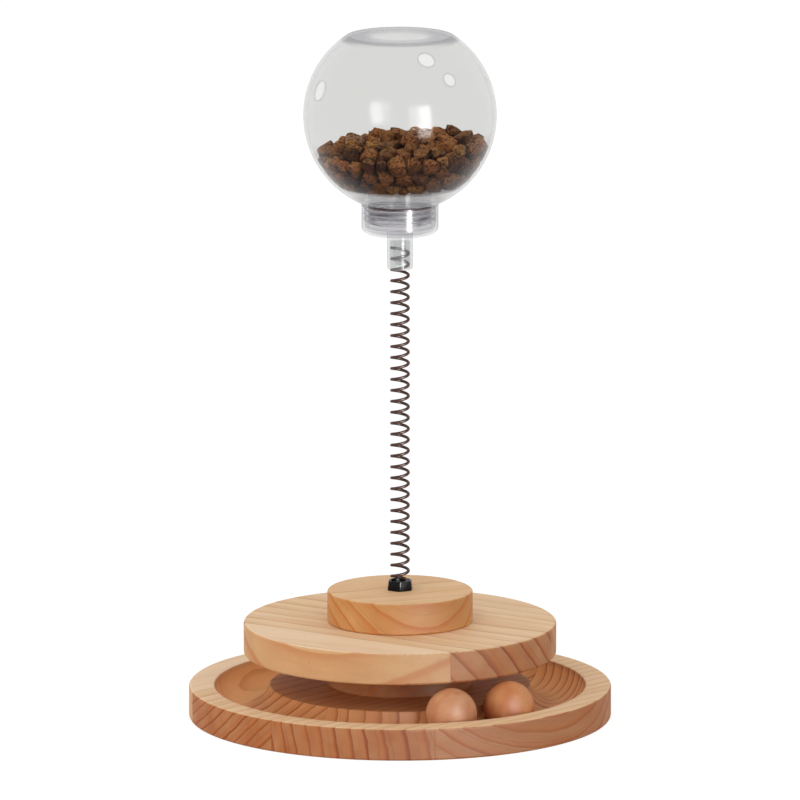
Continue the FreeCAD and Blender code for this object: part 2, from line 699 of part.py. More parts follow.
def spring():
    """The coil spring, one unbroken wire from the seat up into the clear tube."""
    turns = size("seat_coil_turns") + size("free_turns")
    spans = math.ceil(turns / size("arc_pair_turns"))
    stations = [turns * index / spans for index in range(spans + 1)]
    curves = []
    for turn, following in zip(stations, stations[1:]):
        curves += biarc(
            wire_point(turn), wire_direction(turn, turns),
            wire_point(following), wire_direction(following, turns))
    path = Part.Wire([curve.toShape() for curve in curves])
    foot = wire_point(0)
    along = wire_direction(0, turns)
    outward = Vector(foot.x, foot.y, 0).normalize()
    upward = along.cross(outward).normalize()
    outward = upward.cross(along)
    radius = size("wire_diameter") / 2
    corners = []
    for side in range(WIRE_SIDES + 1):
        angle = 2 * math.pi * side / WIRE_SIDES
        corners.append(foot + outward * (radius * math.cos(angle)) + upward * (radius * math.sin(angle)))
    shell = Part.BRepOffsetAPI.MakePipeShell(path)
    shell.add(Part.makePolygon(corners))
    shell.build()
    shell.makeSolid()
    wound = doc.addObject("Part::Feature", "spring")
    wound.Label = "spring"
    wound.Shape = shell.shape()
    print("spring: %.2f turns, %.0f mm of wire, least gap to itself %.2f mm" % (
        turns, path.Length, least_gap(curves)))
    return wound


def least_gap(curves):
    """Least air between coils of the wire, measured on points along its arcs."""
    points = []
    for curve in curves:
        first, last = curve.FirstParameter, curve.LastParameter
        points += [curve.value(first + (last - first) * step / 6) for step in range(6)]
    apart = int(len(points) / (len(curves) * size("arc_pair_turns") / 2) / 2)
    nearest = min(
        point.distanceToPoint(other)
        for index, point in enumerate(points)
        for other in points[index + apart:index + 4 * apart])
    return nearest - size("wire_diameter")


def sliced(faces, normal, reach):
    """Keep the part of a convex lump that lies below a plane, and close the cut."""
    kept = []
    rim = []
    for face in faces:
        corners = []
        for index, corner in enumerate(face):
            before = face[index - 1]
            high = corner.dot(normal) - reach
            high_before = before.dot(normal) - reach
            if high * high_before < 0:
                crossing = before + (corner - before) * (high_before / (high_before - high))
                corners.append(crossing)
                rim.append(crossing)
            if high <= 0:
                corners.append(corner)
        if len(corners) > 2:
            kept.append(corners)
    if rim:
        kept.append(around(rim, normal))
    return kept


def around(points, normal):
    """Single corners of a flat face in order round their middle."""
    middle = sum(points, Vector()) * (1 / len(points))
    across = (points[0] - middle).normalize()
    beside = normal.cross(across)
    points = sorted(points, key=lambda point: math.atan2(
        (point - middle).dot(beside), (point - middle).dot(across)))
    single = []
    for point in points:
        if not single or point.distanceToPoint(single[-1]) > 1e-6:
            single.append(point)
    if single[0].distanceToPoint(single[-1]) < 1e-6:
        single.pop()
    return single


def block(middle, half):
    """The six faces of a cube."""
    faces = []
    for axis in range(3):
        for way in (-half, half):
            corners = []
            for first, second in ((-half, -half), (half, -half), (half, half), (-half, half)):
                place = [0, 0, 0]
                place[axis] = way
                place[(axis + 1) % 3] = first
                place[(axis + 2) % 3] = second
                corners.append(middle + Vector(*place))
            faces.append(corners)
    return faces


def fitted(faces, inside, slack):
    """Slice a lump until no corner lies outside a sphere about the origin."""
    while True:
        farthest = max((corner for face in faces for corner in face), key=lambda corner: corner.Length)
        if farthest.Length <= inside:
            return faces
        faces = sliced(faces, Vector(farthest).normalize(), inside - slack)


def kibble_seeds(spacing, inside, low, high, slope):
    """Uneven points that fill the heap: one for each piece, and more above its surface."""
    draw = random.Random(5)
    row = spacing * math.sqrt(3) / 2
    layer = spacing * math.sqrt(2 / 3)
    reach = math.ceil(inside / row) + 1
    pieces = []
    above = []
    for storey in range(math.ceil((high - low) / layer) + 3):
        for line in range(-reach, reach + 1):
            for post in range(-reach, reach + 1):
                shift = (line + storey) % 2 / 2
                wobble = Vector(*[draw.uniform(-0.2, 0.2) * spacing for axis in range(3)])
                seed = wobble + Vector(
                    (post + shift) * spacing, (line + storey % 2 / 3) * row,
                    low + (storey + 0.5) * layer)
                if seed.Length > inside - spacing * 0.3 or seed.z < low + spacing * 0.2:
                    continue
                surface = high + seed.x * slope - layer / 2
                (pieces if seed.z < surface else above).append(seed)
    return pieces, above


def kibble():
    """The heap of treats on the floor of the globe: loose, uneven, flat-sided pieces."""
    spacing = size("kibble_size")
    gap = size("kibble_gap")
    inside = level("globe_inside") - gap
    low = gap - size("floor_below_centre")
    high = low + size("kibble_depth")
    slope = math.tan(math.radians(size("kibble_slope_angle")))
    pieces, above = kibble_seeds(spacing, inside, low, high, slope)
    solids = []
    for seed in pieces:
        faces = block(seed, spacing)
        faces = sliced(faces, Vector(0, 0, -1), -low)
        for other in pieces + above:
            apart = other - seed
            if 0 < apart.Length < 2 * spacing:
                direction = Vector(apart).normalize()
                faces = sliced(faces, direction, seed.dot(direction) + (apart.Length - gap) / 2)
        faces = fitted(faces, inside, gap / 2)
        polygons = [Part.Face(Part.makePolygon(face + [face[0]])) for face in faces]
        solids.append(Part.Solid(Part.Shell(polygons)))
    heap = doc.addObject("Part::Feature", "kibble")
    heap.Label = "kibble"
    heap.Shape = Part.makeCompound(solids)
    heap.setExpression("Placement.Base.z", "Levels.globe_centre")
    return heap


def build_all():
    """Make every sub-part in the order in which it is assembled."""
    fill_sheet()
    parts = [
        track_base(),
        spacer_disc(),
        upper_disc(),
        top_disc(),
        wood_screws("base_screws", None, "0", True),
        wood_screws("deck_screws", "Levels.top_foot", "Sizes.screw_ring_angle", False),
        dowel_pins(),
        ball("ball_one", "Sizes.ball_one_azimuth"),
        ball("ball_two", "Sizes.ball_two_azimuth"),
        spring_seat(),
        seat_washer(),
        seat_screw(),
        spring(),
        stem(),
        spring_plug(),
        screw_cap(),
        treat_globe(),
        treat_floor(),
        kibble(),
    ]
    doc.recompute()
    return parts


def write_steps(parts):
    """Check the whole document, then write one file for each sub-part."""
    for thing in doc.Objects:
        if "Invalid" in thing.State or "Error" in thing.State:
            raise RuntimeError(thing.Label + " failed")
    for part in parts:
        if part.Shape.isNull() or not part.Shape.isValid():
            raise RuntimeError(part.Label + " has no valid shape")
    os.makedirs("parts", exist_ok=True)
    for part in parts:
        part.Shape.exportStep(os.path.join("parts", part.Label + ".step"))
        box = part.Shape.BoundBox
        print("%-14s %2d solid, %9.1f mm3, z %6.1f to %6.1f" % (
            part.Label, len(part.Shape.Solids), part.Shape.Volume, box.ZMin, box.ZMax))


write_steps(build_all())
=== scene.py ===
# %% [markdown]
# # A treat ball on a spring
# The toy has stacked pine discs, two wooden balls in a milled track, a coil spring and a
# clear globe with dry treats. The construction comes packed as a frame of named nodes.
# This lesson gives each node its finish and models again what needs more form than the
# construction holds: the wire, the black seat, the screws and the treats.

import json
import math
import random

import bpy
import numpy as np
from mathutils import Matrix, Vector


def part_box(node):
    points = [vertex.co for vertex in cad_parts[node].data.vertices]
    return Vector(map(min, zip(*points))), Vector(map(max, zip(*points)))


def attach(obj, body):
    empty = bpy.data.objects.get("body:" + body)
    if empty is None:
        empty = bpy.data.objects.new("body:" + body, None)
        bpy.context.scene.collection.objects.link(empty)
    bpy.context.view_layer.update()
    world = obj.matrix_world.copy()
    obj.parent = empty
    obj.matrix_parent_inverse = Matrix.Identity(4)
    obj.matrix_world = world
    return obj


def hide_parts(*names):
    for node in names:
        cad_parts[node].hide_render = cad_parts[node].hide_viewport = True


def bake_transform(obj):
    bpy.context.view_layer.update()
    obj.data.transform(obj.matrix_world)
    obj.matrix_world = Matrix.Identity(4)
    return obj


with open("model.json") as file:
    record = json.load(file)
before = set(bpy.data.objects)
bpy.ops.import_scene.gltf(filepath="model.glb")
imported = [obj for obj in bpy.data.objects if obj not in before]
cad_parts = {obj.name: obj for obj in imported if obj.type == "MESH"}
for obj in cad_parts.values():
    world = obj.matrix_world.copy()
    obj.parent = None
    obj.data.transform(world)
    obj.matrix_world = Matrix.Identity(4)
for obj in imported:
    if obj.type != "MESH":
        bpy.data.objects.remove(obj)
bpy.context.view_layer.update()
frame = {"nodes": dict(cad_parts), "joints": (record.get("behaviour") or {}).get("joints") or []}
nodes = frame["nodes"]
MM = 0.001

# %% [markdown]
# ## The camera
# The photograph was taken from far away with a long lens, because the ellipses of the three
# discs are equally flat. A camera eight metres off that looks down by eleven degrees gives
# the same ellipses. Its lens follows from the scale, measured in pixels of the photograph
# per metre at the axis of the toy.

# %% Camera
PHOTO_PIXELS = 800
SENSOR = 36.0
DISTANCE = 8.0
PIXELS_PER_METRE = 1695.3
LOOKS_DOWN = math.radians(11.187)
AIM_HEIGHT = 0.19013

bpy.ops.object.camera_add(
    location=(0, -DISTANCE * math.cos(LOOKS_DOWN), AIM_HEIGHT + DISTANCE * math.sin(LOOKS_DOWN)),
    rotation=(math.pi / 2 - LOOKS_DOWN, 0, 0))
camera = bpy.context.object
camera.data.sensor_width = SENSOR
camera.data.lens = DISTANCE * PIXELS_PER_METRE * SENSOR / PHOTO_PIXELS
camera.data.clip_end = 100
bpy.context.scene.camera = camera
print("lens in mm:", round(camera.data.lens, 1))

# %% [markdown]
# ## Arithmetic for shaders
# A procedural finish is a formula over the surface. Node by node such a formula is hard to
# read, so a small class wraps an output socket, and plus, minus and times on it add the Math
# nodes. Every other node comes from its one method `node`.


# %% A class for values that vary over a surface
class Field:
    """One output socket of a material's nodes, with arithmetic."""

    def __init__(self, tree, socket=None):
        self.tree = tree
        self.socket = socket

    def node(self, kind, settings=None, inputs=None, output=0):
        """Add a node, set it up, feed its inputs with values or fields, return an output."""
        made = self.tree.nodes.new("ShaderNode" + kind)
        for name, value in (settings or {}).items():
            setattr(made, name, value)
        for name, value in (inputs or {}).items():
            if isinstance(value, Field):
                self.tree.links.new(value.socket, made.inputs[name])
            else:
                made.inputs[name].default_value = value
        return Field(self.tree, made.outputs[output]) if made.outputs else None

    def math(self, operation, first, second=0.0):
        return self.node("Math", {"operation": operation}, {0: first, 1: second})

    def __add__(self, other):
        return self.math("ADD", self, other)

    def __sub__(self, other):
        return self.math("SUBTRACT", self, other)

    def __rsub__(self, other):
        return self.math("SUBTRACT", other, self)

    def __mul__(self, other):
        return self.math("MULTIPLY", self, other)

    def __truediv__(self, other):
        return self.math("DIVIDE", self, other)

    def __pow__(self, other):
        return self.math("POWER", self, other)

    __radd__ = __add__
    __rmul__ = __mul__

    def rise(self, low, high):
        """0 below low, 1 above high, and a soft rise between them."""
        return self.node(
            "MapRange", {"interpolation_type": "SMOOTHSTEP"},
            {"Value": self, "From Min": low, "From Max": high})

    def between(self, first, second):
        """A colour between two, with this value as the share of the second."""
        return self.node("Mix", {"data_type": "RGBA"}, {0: self, 6: first, 7: second}, 2)

    def noise(self, across=1.0, detail=2.0, roughness=0.5):
        """Smooth noise from 0 to 1, where this vector is the place."""
        return self.node(
            "TexNoise", None,
            {"Vector": self, "Scale": across, "Detail": detail, "Roughness": roughness})


def srgb(red, green, blue):
    """A colour as a screen shows it, 0 to 255, turned into the light that a shader takes."""
    shares = [channel / 255 for channel in (red, green, blue)]
    return (*[s / 12.92 if s <= 0.04045 else ((s + 0.055) / 1.055) ** 2.4 for s in shares], 1)


print("screen grey 128 as light:", round(srgb(128, 128, 128)[0], 3))


# %% Starting a material, places and directions
def new_material(name):
    """An empty node-based material and the start of its formulas."""
    material = bpy.data.materials.new(name)
    material.use_nodes = True
    material.node_tree.nodes.clear()
    return material, Field(material.node_tree)


def place_in_mm(start):
    """The three coordinates of a point of the piece, in millimetres."""
    place = start.node("TexCoord", None, None, "Object")
    millimetres = place.node("VectorMath", {"operation": "SCALE"}, {0: place, "Scale": 1 / MM})
    return [millimetres.node("SeparateXYZ", None, {0: millimetres}, axis) for axis in range(3)]


def facing_up(start):
    """How far a face of the piece looks up: 1 up, 0 sideways, -1 down."""
    normal = start.node("TexCoord", None, None, "Normal")
    return normal.node("SeparateXYZ", None, {0: normal}, "Z")


def vector(first, second, third):
    """Three values as one vector."""
    return first.node("CombineXYZ", None, {0: first, 1: second, 2: third})


def compass(degrees):
    """How far a unit step at an angle goes, sideways and up."""
    return math.cos(math.radians(degrees)), math.sin(math.radians(degrees))


print("a step at 30 degrees:", [round(part, 3) for part in compass(30)])


# %% Ending a material
def close_material(start, shader):
    start.node("OutputMaterial", None, {"Surface": shader})


def close_solid(start, colour, roughness, bump, all_over):
    """End a material with a solid surface. bump says how strong and how high in metres it is
    and where, and all_over gives the shader's other sockets plain values."""
    strength, distance, height = bump
    raised = start.node(
        "Bump", None, {"Strength": strength, "Distance": distance, "Height": height})
    close_material(start, start.node("BsdfPrincipled", None, {
        "Base Color": colour, "Roughness": roughness, "Normal": raised, **all_over}))


def paint(piece, material):
    """Make a material the only one of a piece."""
    piece.data.materials.clear()
    piece.data.materials.append(material)


# %% [markdown]
# ## The stage
# The toy was photographed on pure white. The floor is pale, and for the camera it mostly
# glows in white, so that only a faint part of it is lit and keeps the shadow. The same
# white stands behind the clear plastic, for the rays that reflect and pass through.


# %% The floor
def white_for_seeing_rays(start):
    """1 for rays that see the background: straight, mirrored or through something clear."""
    seen = [start.node("LightPath", None, None, ray) for ray in
            ("Is Camera Ray", "Is Glossy Ray", "Is Transmission Ray")]
    return seen[0].math("MAXIMUM", seen[0], seen[1].math("MAXIMUM", seen[1], seen[2]))


FLOOR_REACH = 60
FLOOR_DROP = 0.1 * MM  # a hair below the base, because two faces in one plane flicker
FLOOR_GLOW = 0.88
FLOOR_LIT_SHARE = 0.2
FLOOR_COLOUR = srgb(232, 231, 229)
WHITE = (1, 1, 1, 1)

material, start = new_material("pale_floor")
lit = start.node("BsdfDiffuse", None, {"Color": (FLOOR_LIT_SHARE,) * 3 + (1,)})
glow = start.node("Emission", None, {"Color": WHITE, "Strength": FLOOR_GLOW})
seen = start.node("AddShader", None, {0: lit, 1: glow})
pale = start.node("BsdfDiffuse", None, {"Color": FLOOR_COLOUR})
close_material(start, start.node(
    "MixShader", None, {0: white_for_seeing_rays(start), 1: pale, 2: seen}))

bpy.ops.object.select_all(action="DESELECT")
bpy.ops.mesh.primitive_plane_add(size=FLOOR_REACH, location=(0, 0, -FLOOR_DROP))
floor = bpy.context.object
floor.name = "floor"
paint(floor, material)
print("floor:", FLOOR_REACH, "m across")

# %% The world
AMBIENT = 0.76
ROOM_TINT = (1.0, 0.985, 0.965, 1)
world = bpy.data.worlds.new("studio")
bpy.context.scene.world = world
world.use_nodes = True
world.node_tree.nodes.clear()
start = Field(world.node_tree)
room = start.node("Background", None, {"Color": ROOM_TINT, "Strength": AMBIENT})
white = start.node("Background", None, {"Color": WHITE, "Strength": 1.0})
start.node("OutputWorld", None, {"Surface": start.node(
    "MixShader", None, {0: white_for_seeing_rays(start), 1: room, 2: white})})
bpy.context.scene.view_settings.view_transform = "Standard"
print("light of the room:", AMBIENT)

# %% [markdown]
# A straight look through the neck meets more than a dozen faces of clear plastic, and Cycles
# stops at eight by default and shows black. So it is allowed more.

# %% Faces that a look may pass
bpy.context.scene.cycles.transparent_max_bounces = 32
print("clear faces in a row:", bpy.context.scene.cycles.transparent_max_bounces)

# %% [markdown]
# ## The lamps
# A large soft box hangs over the toy and a lower window to the left lights the track under
# the upper disc. Two tall panes stand in front of it to the right, where the globe, the cap
# and the tube show the shine of a window. A mirror ball shows a lamp at half the angle
# between lamp and camera, so the panes' places follow from where their shine lies on the
# globe in the photograph. The panes are far brighter than the room, so wood and plastic
# keep at most half of the usual shine and what is dark stays dark.

# %% Helpers for lamps
GLOBE_MIDDLE = Vector((0, 0, 0.3606))
GLOBE_RADIUS = 0.0569
GLOBE_PIXEL = (402.7, 115.3)  # the globe's middle in the photograph
GLOBE_PIXELS = 96.8  # its radius there
PANE_DISTANCE = 1.2
SHINE = 0.25  # specular level of a finish, where 0.5 is usual


def lamp_towards(side, up):
    """The direction of a lamp whose shine lies at a pixel offset from the globe's middle."""
    to_camera = Vector((0, -math.cos(LOOKS_DOWN), math.sin(LOOKS_DOWN)))
    camera_up = Vector((0, math.sin(LOOKS_DOWN), math.cos(LOOKS_DOWN)))
    across, rise = side / GLOBE_PIXELS, up / GLOBE_PIXELS
    towards = math.sqrt(1 - across ** 2 - rise ** 2)
    normal = Vector((across, 0, 0)) + camera_up * rise + to_camera * towards
    return 2 * normal.dot(to_camera) * normal - to_camera


def area_lamp(name, place, aim, width, height, strength):
    """A rectangular lamp that shines with a given brightness and that the camera can't see."""
    turn = (aim - place).to_track_quat("-Z", "Y").to_euler()
    bpy.ops.object.light_add(type="AREA", location=place, rotation=turn)
    lamp = bpy.context.object
    lamp.name = name
    lamp.data.shape = "RECTANGLE"
    lamp.data.size = width
    lamp.data.size_y = height
    lamp.data.energy = strength * math.pi * width * height
    lamp.visible_camera = False
    return lamp


def window_pane(name, left, right, bottom, top, strength):
    """A pane whose mirror image covers a box of pixels on the globe. It only gives shine."""
    middle = lamp_towards(
        (left + right) / 2 - GLOBE_PIXEL[0], GLOBE_PIXEL[1] - (bottom + top) / 2)
    width = 2 * (right - left) / GLOBE_PIXELS * PANE_DISTANCE
    height = 2 * (bottom - top) / GLOBE_PIXELS * PANE_DISTANCE
    place = GLOBE_MIDDLE + middle * PANE_DISTANCE
    pane = area_lamp(name, place, GLOBE_MIDDLE, width, height, strength)
    pane.visible_diffuse = False


# %% Four lamps
PANES = (  # name, left, right, bottom and top of the shine in pixels, brightness
    ("bright_pane", 421, 434, 139, 107, 120.0),
    ("soft_pane", 412, 420, 131, 107, 40.0))
SOFT_LAMPS = (  # name, place, width, height, brightness
    ("soft_box", (-0.6, -1.35, 2.2), 1.8, 1.8, 1.15),
    ("low_window", (-1.5, -1.45, 0.38), 1.3, 0.7, 2.7))
BOARDS_MIDDLE = Vector((0, 0, 0.05))
for pane in PANES:
    window_pane(*pane)
for name, place, width, height, strength in SOFT_LAMPS:
    box = area_lamp(name, Vector(place), BOARDS_MIDDLE, width, height, strength)
    box.visible_glossy = False

# %% [markdown]
# ## Pine
# Pine shows its year rings: pale spring wood that darkens slowly to a thin brown summer
# line and jumps back. The rings are tubes round the middle of the log, so one formula in
# all three directions draws straight lines on the faces, arcs on the ends and cathedrals
# where a face just grazes a ring, and the milled track cuts its own contour lines. Each
# board is glued from staves, and each stave came from another place in the log.


# %% Colours of pine
SANDED_PALE = srgb(239, 209, 174)
SANDED_WARM = srgb(214, 168, 104)
CUT_PALE = srgb(214, 168, 120)
CUT_WARM = srgb(166, 98, 57)
# The next colour is the milled wood's tone, made paler as painted light for the groove under the
# upper disc.
MILLED_TONE_AND_LIGHT = srgb(252, 186, 120)
GOLDEN_WOOD = srgb(214, 152, 58)
ORANGE_WOOD = srgb(190, 108, 50)
PLUM_LINE = srgb(132, 58, 30)
FIBRE_BROWN = srgb(140, 84, 52)
RESIN_BROWN = srgb(150, 78, 40)
print("sanded pine as light:", [round(part, 2) for part in SANDED_PALE[:3]])


# %% Year rings
def stepped(across, seams, values):
    """A value that jumps at each seam from one stave's value to the next."""
    result = across * 0 + values[0]
    for seam, before, after in zip(seams, values, values[1:]):
        result = result + across.math("GREATER_THAN", across, seam) * (after - before)
    return result


def chance(start, number):
    """A random value from 0 to 1 for each whole number."""
    return start.node("TexWhiteNoise", {"noise_dimensions": "1D"}, {"W": number})


def years_from_pith(start, along, across, z, log, seed):
    """How many years lie between a place and the pith of its log. log gives the pith across
    and in height, the ring width and a shift of the rings. Slow noise sways the rings, and
    some years are fat and some lean."""
    middle_across, middle_height, ring, shift = log
    sway = vector(along / 90 + seed, across / 60, z / 60).noise(1, 1)
    wave = vector(along / 16 + seed, across / 8, z / 8).noise(1, 2)
    side = across - middle_across
    rise = z - middle_height
    straight = start.math("SQRT", side * side + rise * rise)
    distance = straight + (sway - 0.5) * 5 + (wave - 0.5) * 1.8
    uneven = vector(distance / 13 + seed, middle_across, 0.5).noise(1, 1)
    return distance / ring + (uneven - 0.5) * 0.8 + shift


def marks_of_a_year(start, year, seed):
    """What a year leaves in the wood: slow darkening, the summer line, its sharp end as a
    hairline, and a thin extra line in some years."""
    share = start.math("FRACT", year)
    number = start.math("FLOOR", year) + seed
    ended = 1 - share.rise(0.965, 1.0)
    late = share.rise(0.2, 0.95) * ended
    line = share.rise(0.66, 0.93) ** 1.5 * ended * (chance(start, number) * 0.5 + 0.5)
    hairline = share.rise(0.9, 0.955) * ended
    thin_place = chance(start, number + 31.7) * 0.5 + 0.2
    off = start.math("ABSOLUTE", share - thin_place)
    thin = (1 - off.rise(0.0, 0.05)) * chance(start, number + 77.3)
    return late, line, hairline, thin


# %% [markdown]
# The saw, the sander and the cutter leave three kinds of face. The sanded top is pale, the
# sawn edge is darker and shows the rings best, and the milled track is warm and plain. The
# milled track is also painted paler: partly its own tone, partly painted light for the groove
# under the upper disc. The height, the radius and the normal of a place tell which face it
# lies on.

# %% A material for glued pine
SANDED_SKIN = (1.3, 0.5)  # how deep below the top the sanded tone begins and is full
# Between these radii the milled track is painted paler still, as painted light in the groove.
TRACK_WALL = (86, 104)  # radii between which the milled wood turns paler
UNDERSIDE = (0.5, 2)  # heights between which the tone of the plain underside ends


def pine(name, grain, top, seams, staves, milled_within=0.0, seed=0.0, golden=0.0):
    """Glued pine. grain is the compass angle of the fibres in degrees, top the height of the
    sanded face and milled_within the radius inside which a track is milled. A stave gives
    the middle of its log across and in height, the ring width, a shift of the rings, how
    warm the wood is and how clear its lines are. golden turns the wood from pink to yellow.
    Lengths are millimetres."""
    material, start = new_material(name)
    x, y, z = place_in_mm(start)
    cosine, sine = compass(grain)
    along = x * cosine + y * sine
    across = x * sine - y * cosine
    *log, warmth, clearness = [stepped(across, seams, values) for values in zip(*staves)]
    year = years_from_pith(start, along, across, z, log, seed)
    late, line, hairline, thin = marks_of_a_year(start, year, seed)

    radius = start.math("SQRT", x * x + y * y)
    level = start.math("ABSOLUTE", facing_up(start))
    lower = (1 - radius.rise(milled_within - 1, milled_within + 1)) * z.rise(*UNDERSIDE)
    skin = z.rise(top - SANDED_SKIN[0], top - SANDED_SKIN[1])
    sanded = level.rise(0.5, 0.95) * skin * (1 - lower)
    plateau = lower * level.rise(0.9, 1.0)

    patches = vector(along / 50, across / 14, z / 14 + seed).noise(1, 2)
    warm = (patches - 0.5) * 0.7 + warmth * (1 - sanded * 0.55)
    colour = sanded.between(
        warm.between(CUT_PALE, CUT_WARM), warm.between(SANDED_PALE, SANDED_WARM))
    colour = start.node("Mix", {"data_type": "RGBA"}, {0: golden, 6: colour, 7: GOLDEN_WOOD}, 2)
    # Painted light: the milled track turns paler, partly its own tone, partly light that reaches
    # the groove under the upper disc.
    colour = (lower * (radius.rise(*TRACK_WALL) * 0.5 + 0.4)).between(colour, MILLED_TONE_AND_LIGHT)
    clear = clearness * (1 - sanded * 0.55 - lower * 0.22 - plateau * 0.38)
    line = line * (1 - sanded) + hairline * sanded
    line_colour = clearness.rise(0.6, 0.95).between(ORANGE_WOOD, PLUM_LINE)
    colour = (late * clear * 0.5).between(colour, ORANGE_WOOD)
    colour = (line * clear).between(colour, line_colour)
    colour = (thin * clear * 0.5).between(colour, PLUM_LINE)

    fibres = vector(along / 22, across * 2.4, z * 2.4).noise(1, 3, 0.6)
    colour = (fibres.rise(0.3, 0.8) * 0.14).between(colour, FIBRE_BROWN)
    resin = vector(along / 3.5, across * 1.3, z * 1.3 + seed).noise(1, 1).rise(0.72, 0.8)
    colour = (resin * 0.4).between(colour, RESIN_BROWN)
    nearest = across * 0 + 1
    for seam in seams:
        nearest = nearest.math("MINIMUM", nearest, start.math("ABSOLUTE", across - seam) * 3)
    colour = ((1 - nearest) * 0.4).between(colour, PLUM_LINE)
    height = fibres * 0.3 - line * 0.4 + nearest * 0.5
    close_solid(start, colour, 0.52 + line * 0.08 + fibres * 0.1, (0.22, 0.0002, height),
                {"IOR": 1.3, "Specular IOR Level": SHINE})
    return material


# %% [markdown]
# Each board lies with its grain another way and is glued from one to four staves. Where the
# pith of a stave lies is read from the photograph: lines that stand upright on the edge come
# from a pith far to the side, and an arc or a cathedral from one far above or below.

# %% The four boards
paint(nodes["track_base"], pine(
    "track_base_pine", 47, 19, (-73, 13, 99), (
        (-180, -120, 8.5, 0.0, 0.0, 0.36),
        (-222, 276, 6.6, 0.07, 0.8, 1.0),
        (-56, -8.5, 8.06, 0.08, 0.8, 0.9),
        (225, 112, 6.0, 0.09, 0.74, 0.8)), milled_within=109.5))
paint(nodes["spacer_disc"], pine(
    "spacer_pine", 63, 38, (), ((60, -45, 6.0, 0.0, 0.8, 0.6),), seed=3.0))
paint(nodes["upper_disc"], pine(
    "upper_disc_pine", -34, 57, (-30, 56), (
        (-160, 150, 9.0, 0.0, 0.45, 0.7),
        (-154, 204, 11.2, 0.22, 0.66, 0.95),
        (10, -53.6, 18.5, 0.657, 0.05, 0.52)), seed=5.0))
paint(nodes["top_disc"], pine(
    "top_disc_pine", 22, 76, (), ((-32.4, 7.5, 9.6, 0.335, 0.42, 0.66),), seed=8.0, golden=0.3))
print("boards:", [name for name in nodes if name.endswith(("_disc", "_base"))])

# %% [markdown]
# ## Beech
# Turned balls and dowels are beech: close grain with short darker flecks and hardly any
# rings. The two balls differ in tone, one pink and pale, the other more orange, and each is
# painted darker on one side as painted shade.


# %% A material for beech
# The next colour is partly the darker tone of beech and partly painted shade on the balls.
BEECH_DARK_TONE_AND_SHADE = srgb(150, 66, 30)
BEECH_RING = srgb(176, 98, 52)
BEECH_FLECK = srgb(150, 92, 62)
BALL_HALF = 15


def beech(name, pale, deep, tilt, centre=(0, 0, 0), shade_side=(0, 0)):
    """Polished beech. tilt turns the direction of its grain, in degrees, and the last argument
    points from the centre to the side that is painted darker as shade, across and up."""
    material, start = new_material(name)
    x, y, z = place_in_mm(start)
    cosine, sine = compass(tilt)
    along = x * cosine + z * sine
    across = z * cosine - x * sine
    clouds = vector(along / 14, across / 9, y / 9).noise(1, 1)
    bow = along * along / 60
    rings = vector(along / 40, (across + bow) * 0.8, y / 2.5).noise(1, 2)
    flecks = vector(along / 1.2, across * 2.2, y * 2.2).noise(1, 2).rise(0.6, 0.76)
    colour = clouds.rise(0.3, 0.7).between(pale, deep)
    # Painted shade: the ball darkens towards one side, and the clouds add some darker tone at
    # random.
    right, up = x - centre[0] / MM, z - centre[2] / MM
    towards = right * (shade_side[0] / BALL_HALF) + up * (shade_side[1] / BALL_HALF)
    colour = ((towards + clouds * 0.5).rise(0.35, 1.1) * 0.75).between(colour, BEECH_DARK_TONE_AND_SHADE)
    colour = (rings.rise(0.35, 0.75) * 0.2).between(colour, BEECH_RING)
    colour = (flecks * 0.2).between(colour, BEECH_FLECK)
    close_solid(start, colour, rings * 0.1 + 0.5, (0.1, 0.0001, rings - flecks * 0.3),
                {"IOR": 1.33, "Specular IOR Level": SHINE})
    return material


# %% The two balls
# The last value of each row is the side of painted shade: below on the first ball, lower left on
# the second, where the first ball shades it.
for ball, name, pale, deep, tilt, shade_side in (
        ("ball_one", "pale_beech", srgb(204, 148, 108), srgb(190, 128, 88), 70, (-0.1, -0.5)),
        ("ball_two", "orange_beech", srgb(204, 140, 90), srgb(192, 118, 70), 100, (-0.85, -0.6))):
    middle = sum(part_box(ball), Vector()) / 2
    paint(nodes[ball], beech(name, pale, deep, tilt, middle, shade_side))
    print(ball, "lies at", [round(part / MM, 1) for part in middle], "mm")
dowel_beech = beech("dowel_beech", srgb(222, 176, 132), srgb(200, 150, 106), 90)

# %% [markdown]
# ## Steel and black plastic
# The screws and the washer are zinc plated. The clouds of the zinc change its roughness too,
# so its shine is uneven. The seat of the spring is moulded in black plastic with half gloss.


# %% Zinc and black plastic
def zinc():
    material, start = new_material("zinc_plated_steel")
    x, y, z = place_in_mm(start)
    cloud = vector(x, y, z).noise(1.4, 4)
    colour = cloud.between(srgb(150, 152, 156), srgb(196, 197, 198))
    close_solid(start, colour, cloud * 0.2 + 0.25, (0.2, 0.00005, cloud), {"Metallic": 1.0})
    return material


def black_plastic():
    material, start = new_material("moulded_black")
    x, y, z = place_in_mm(start)
    grain = vector(x, y, z).noise(2.5, 3)
    colour = grain.between(srgb(10, 10, 12), srgb(24, 24, 28))
    close_solid(start, colour, grain * 0.1 + 0.2, (0.12, 0.0001, grain),
                {"IOR": 1.4, "Specular IOR Level": SHINE / 2})
    return material


steel = zinc()
paint(nodes["seat_washer"], steel)
print("metal:", steel.name)

# %% [markdown]
# ## Turned pieces
# Screws, dowels and the round forms of the seat are turned. Like on a lathe, one end face is
# drawn on from station to station and made wider or narrower at each, so a list of radii and
# heights says the whole piece. The hexagon of the seat is the same with six sides.


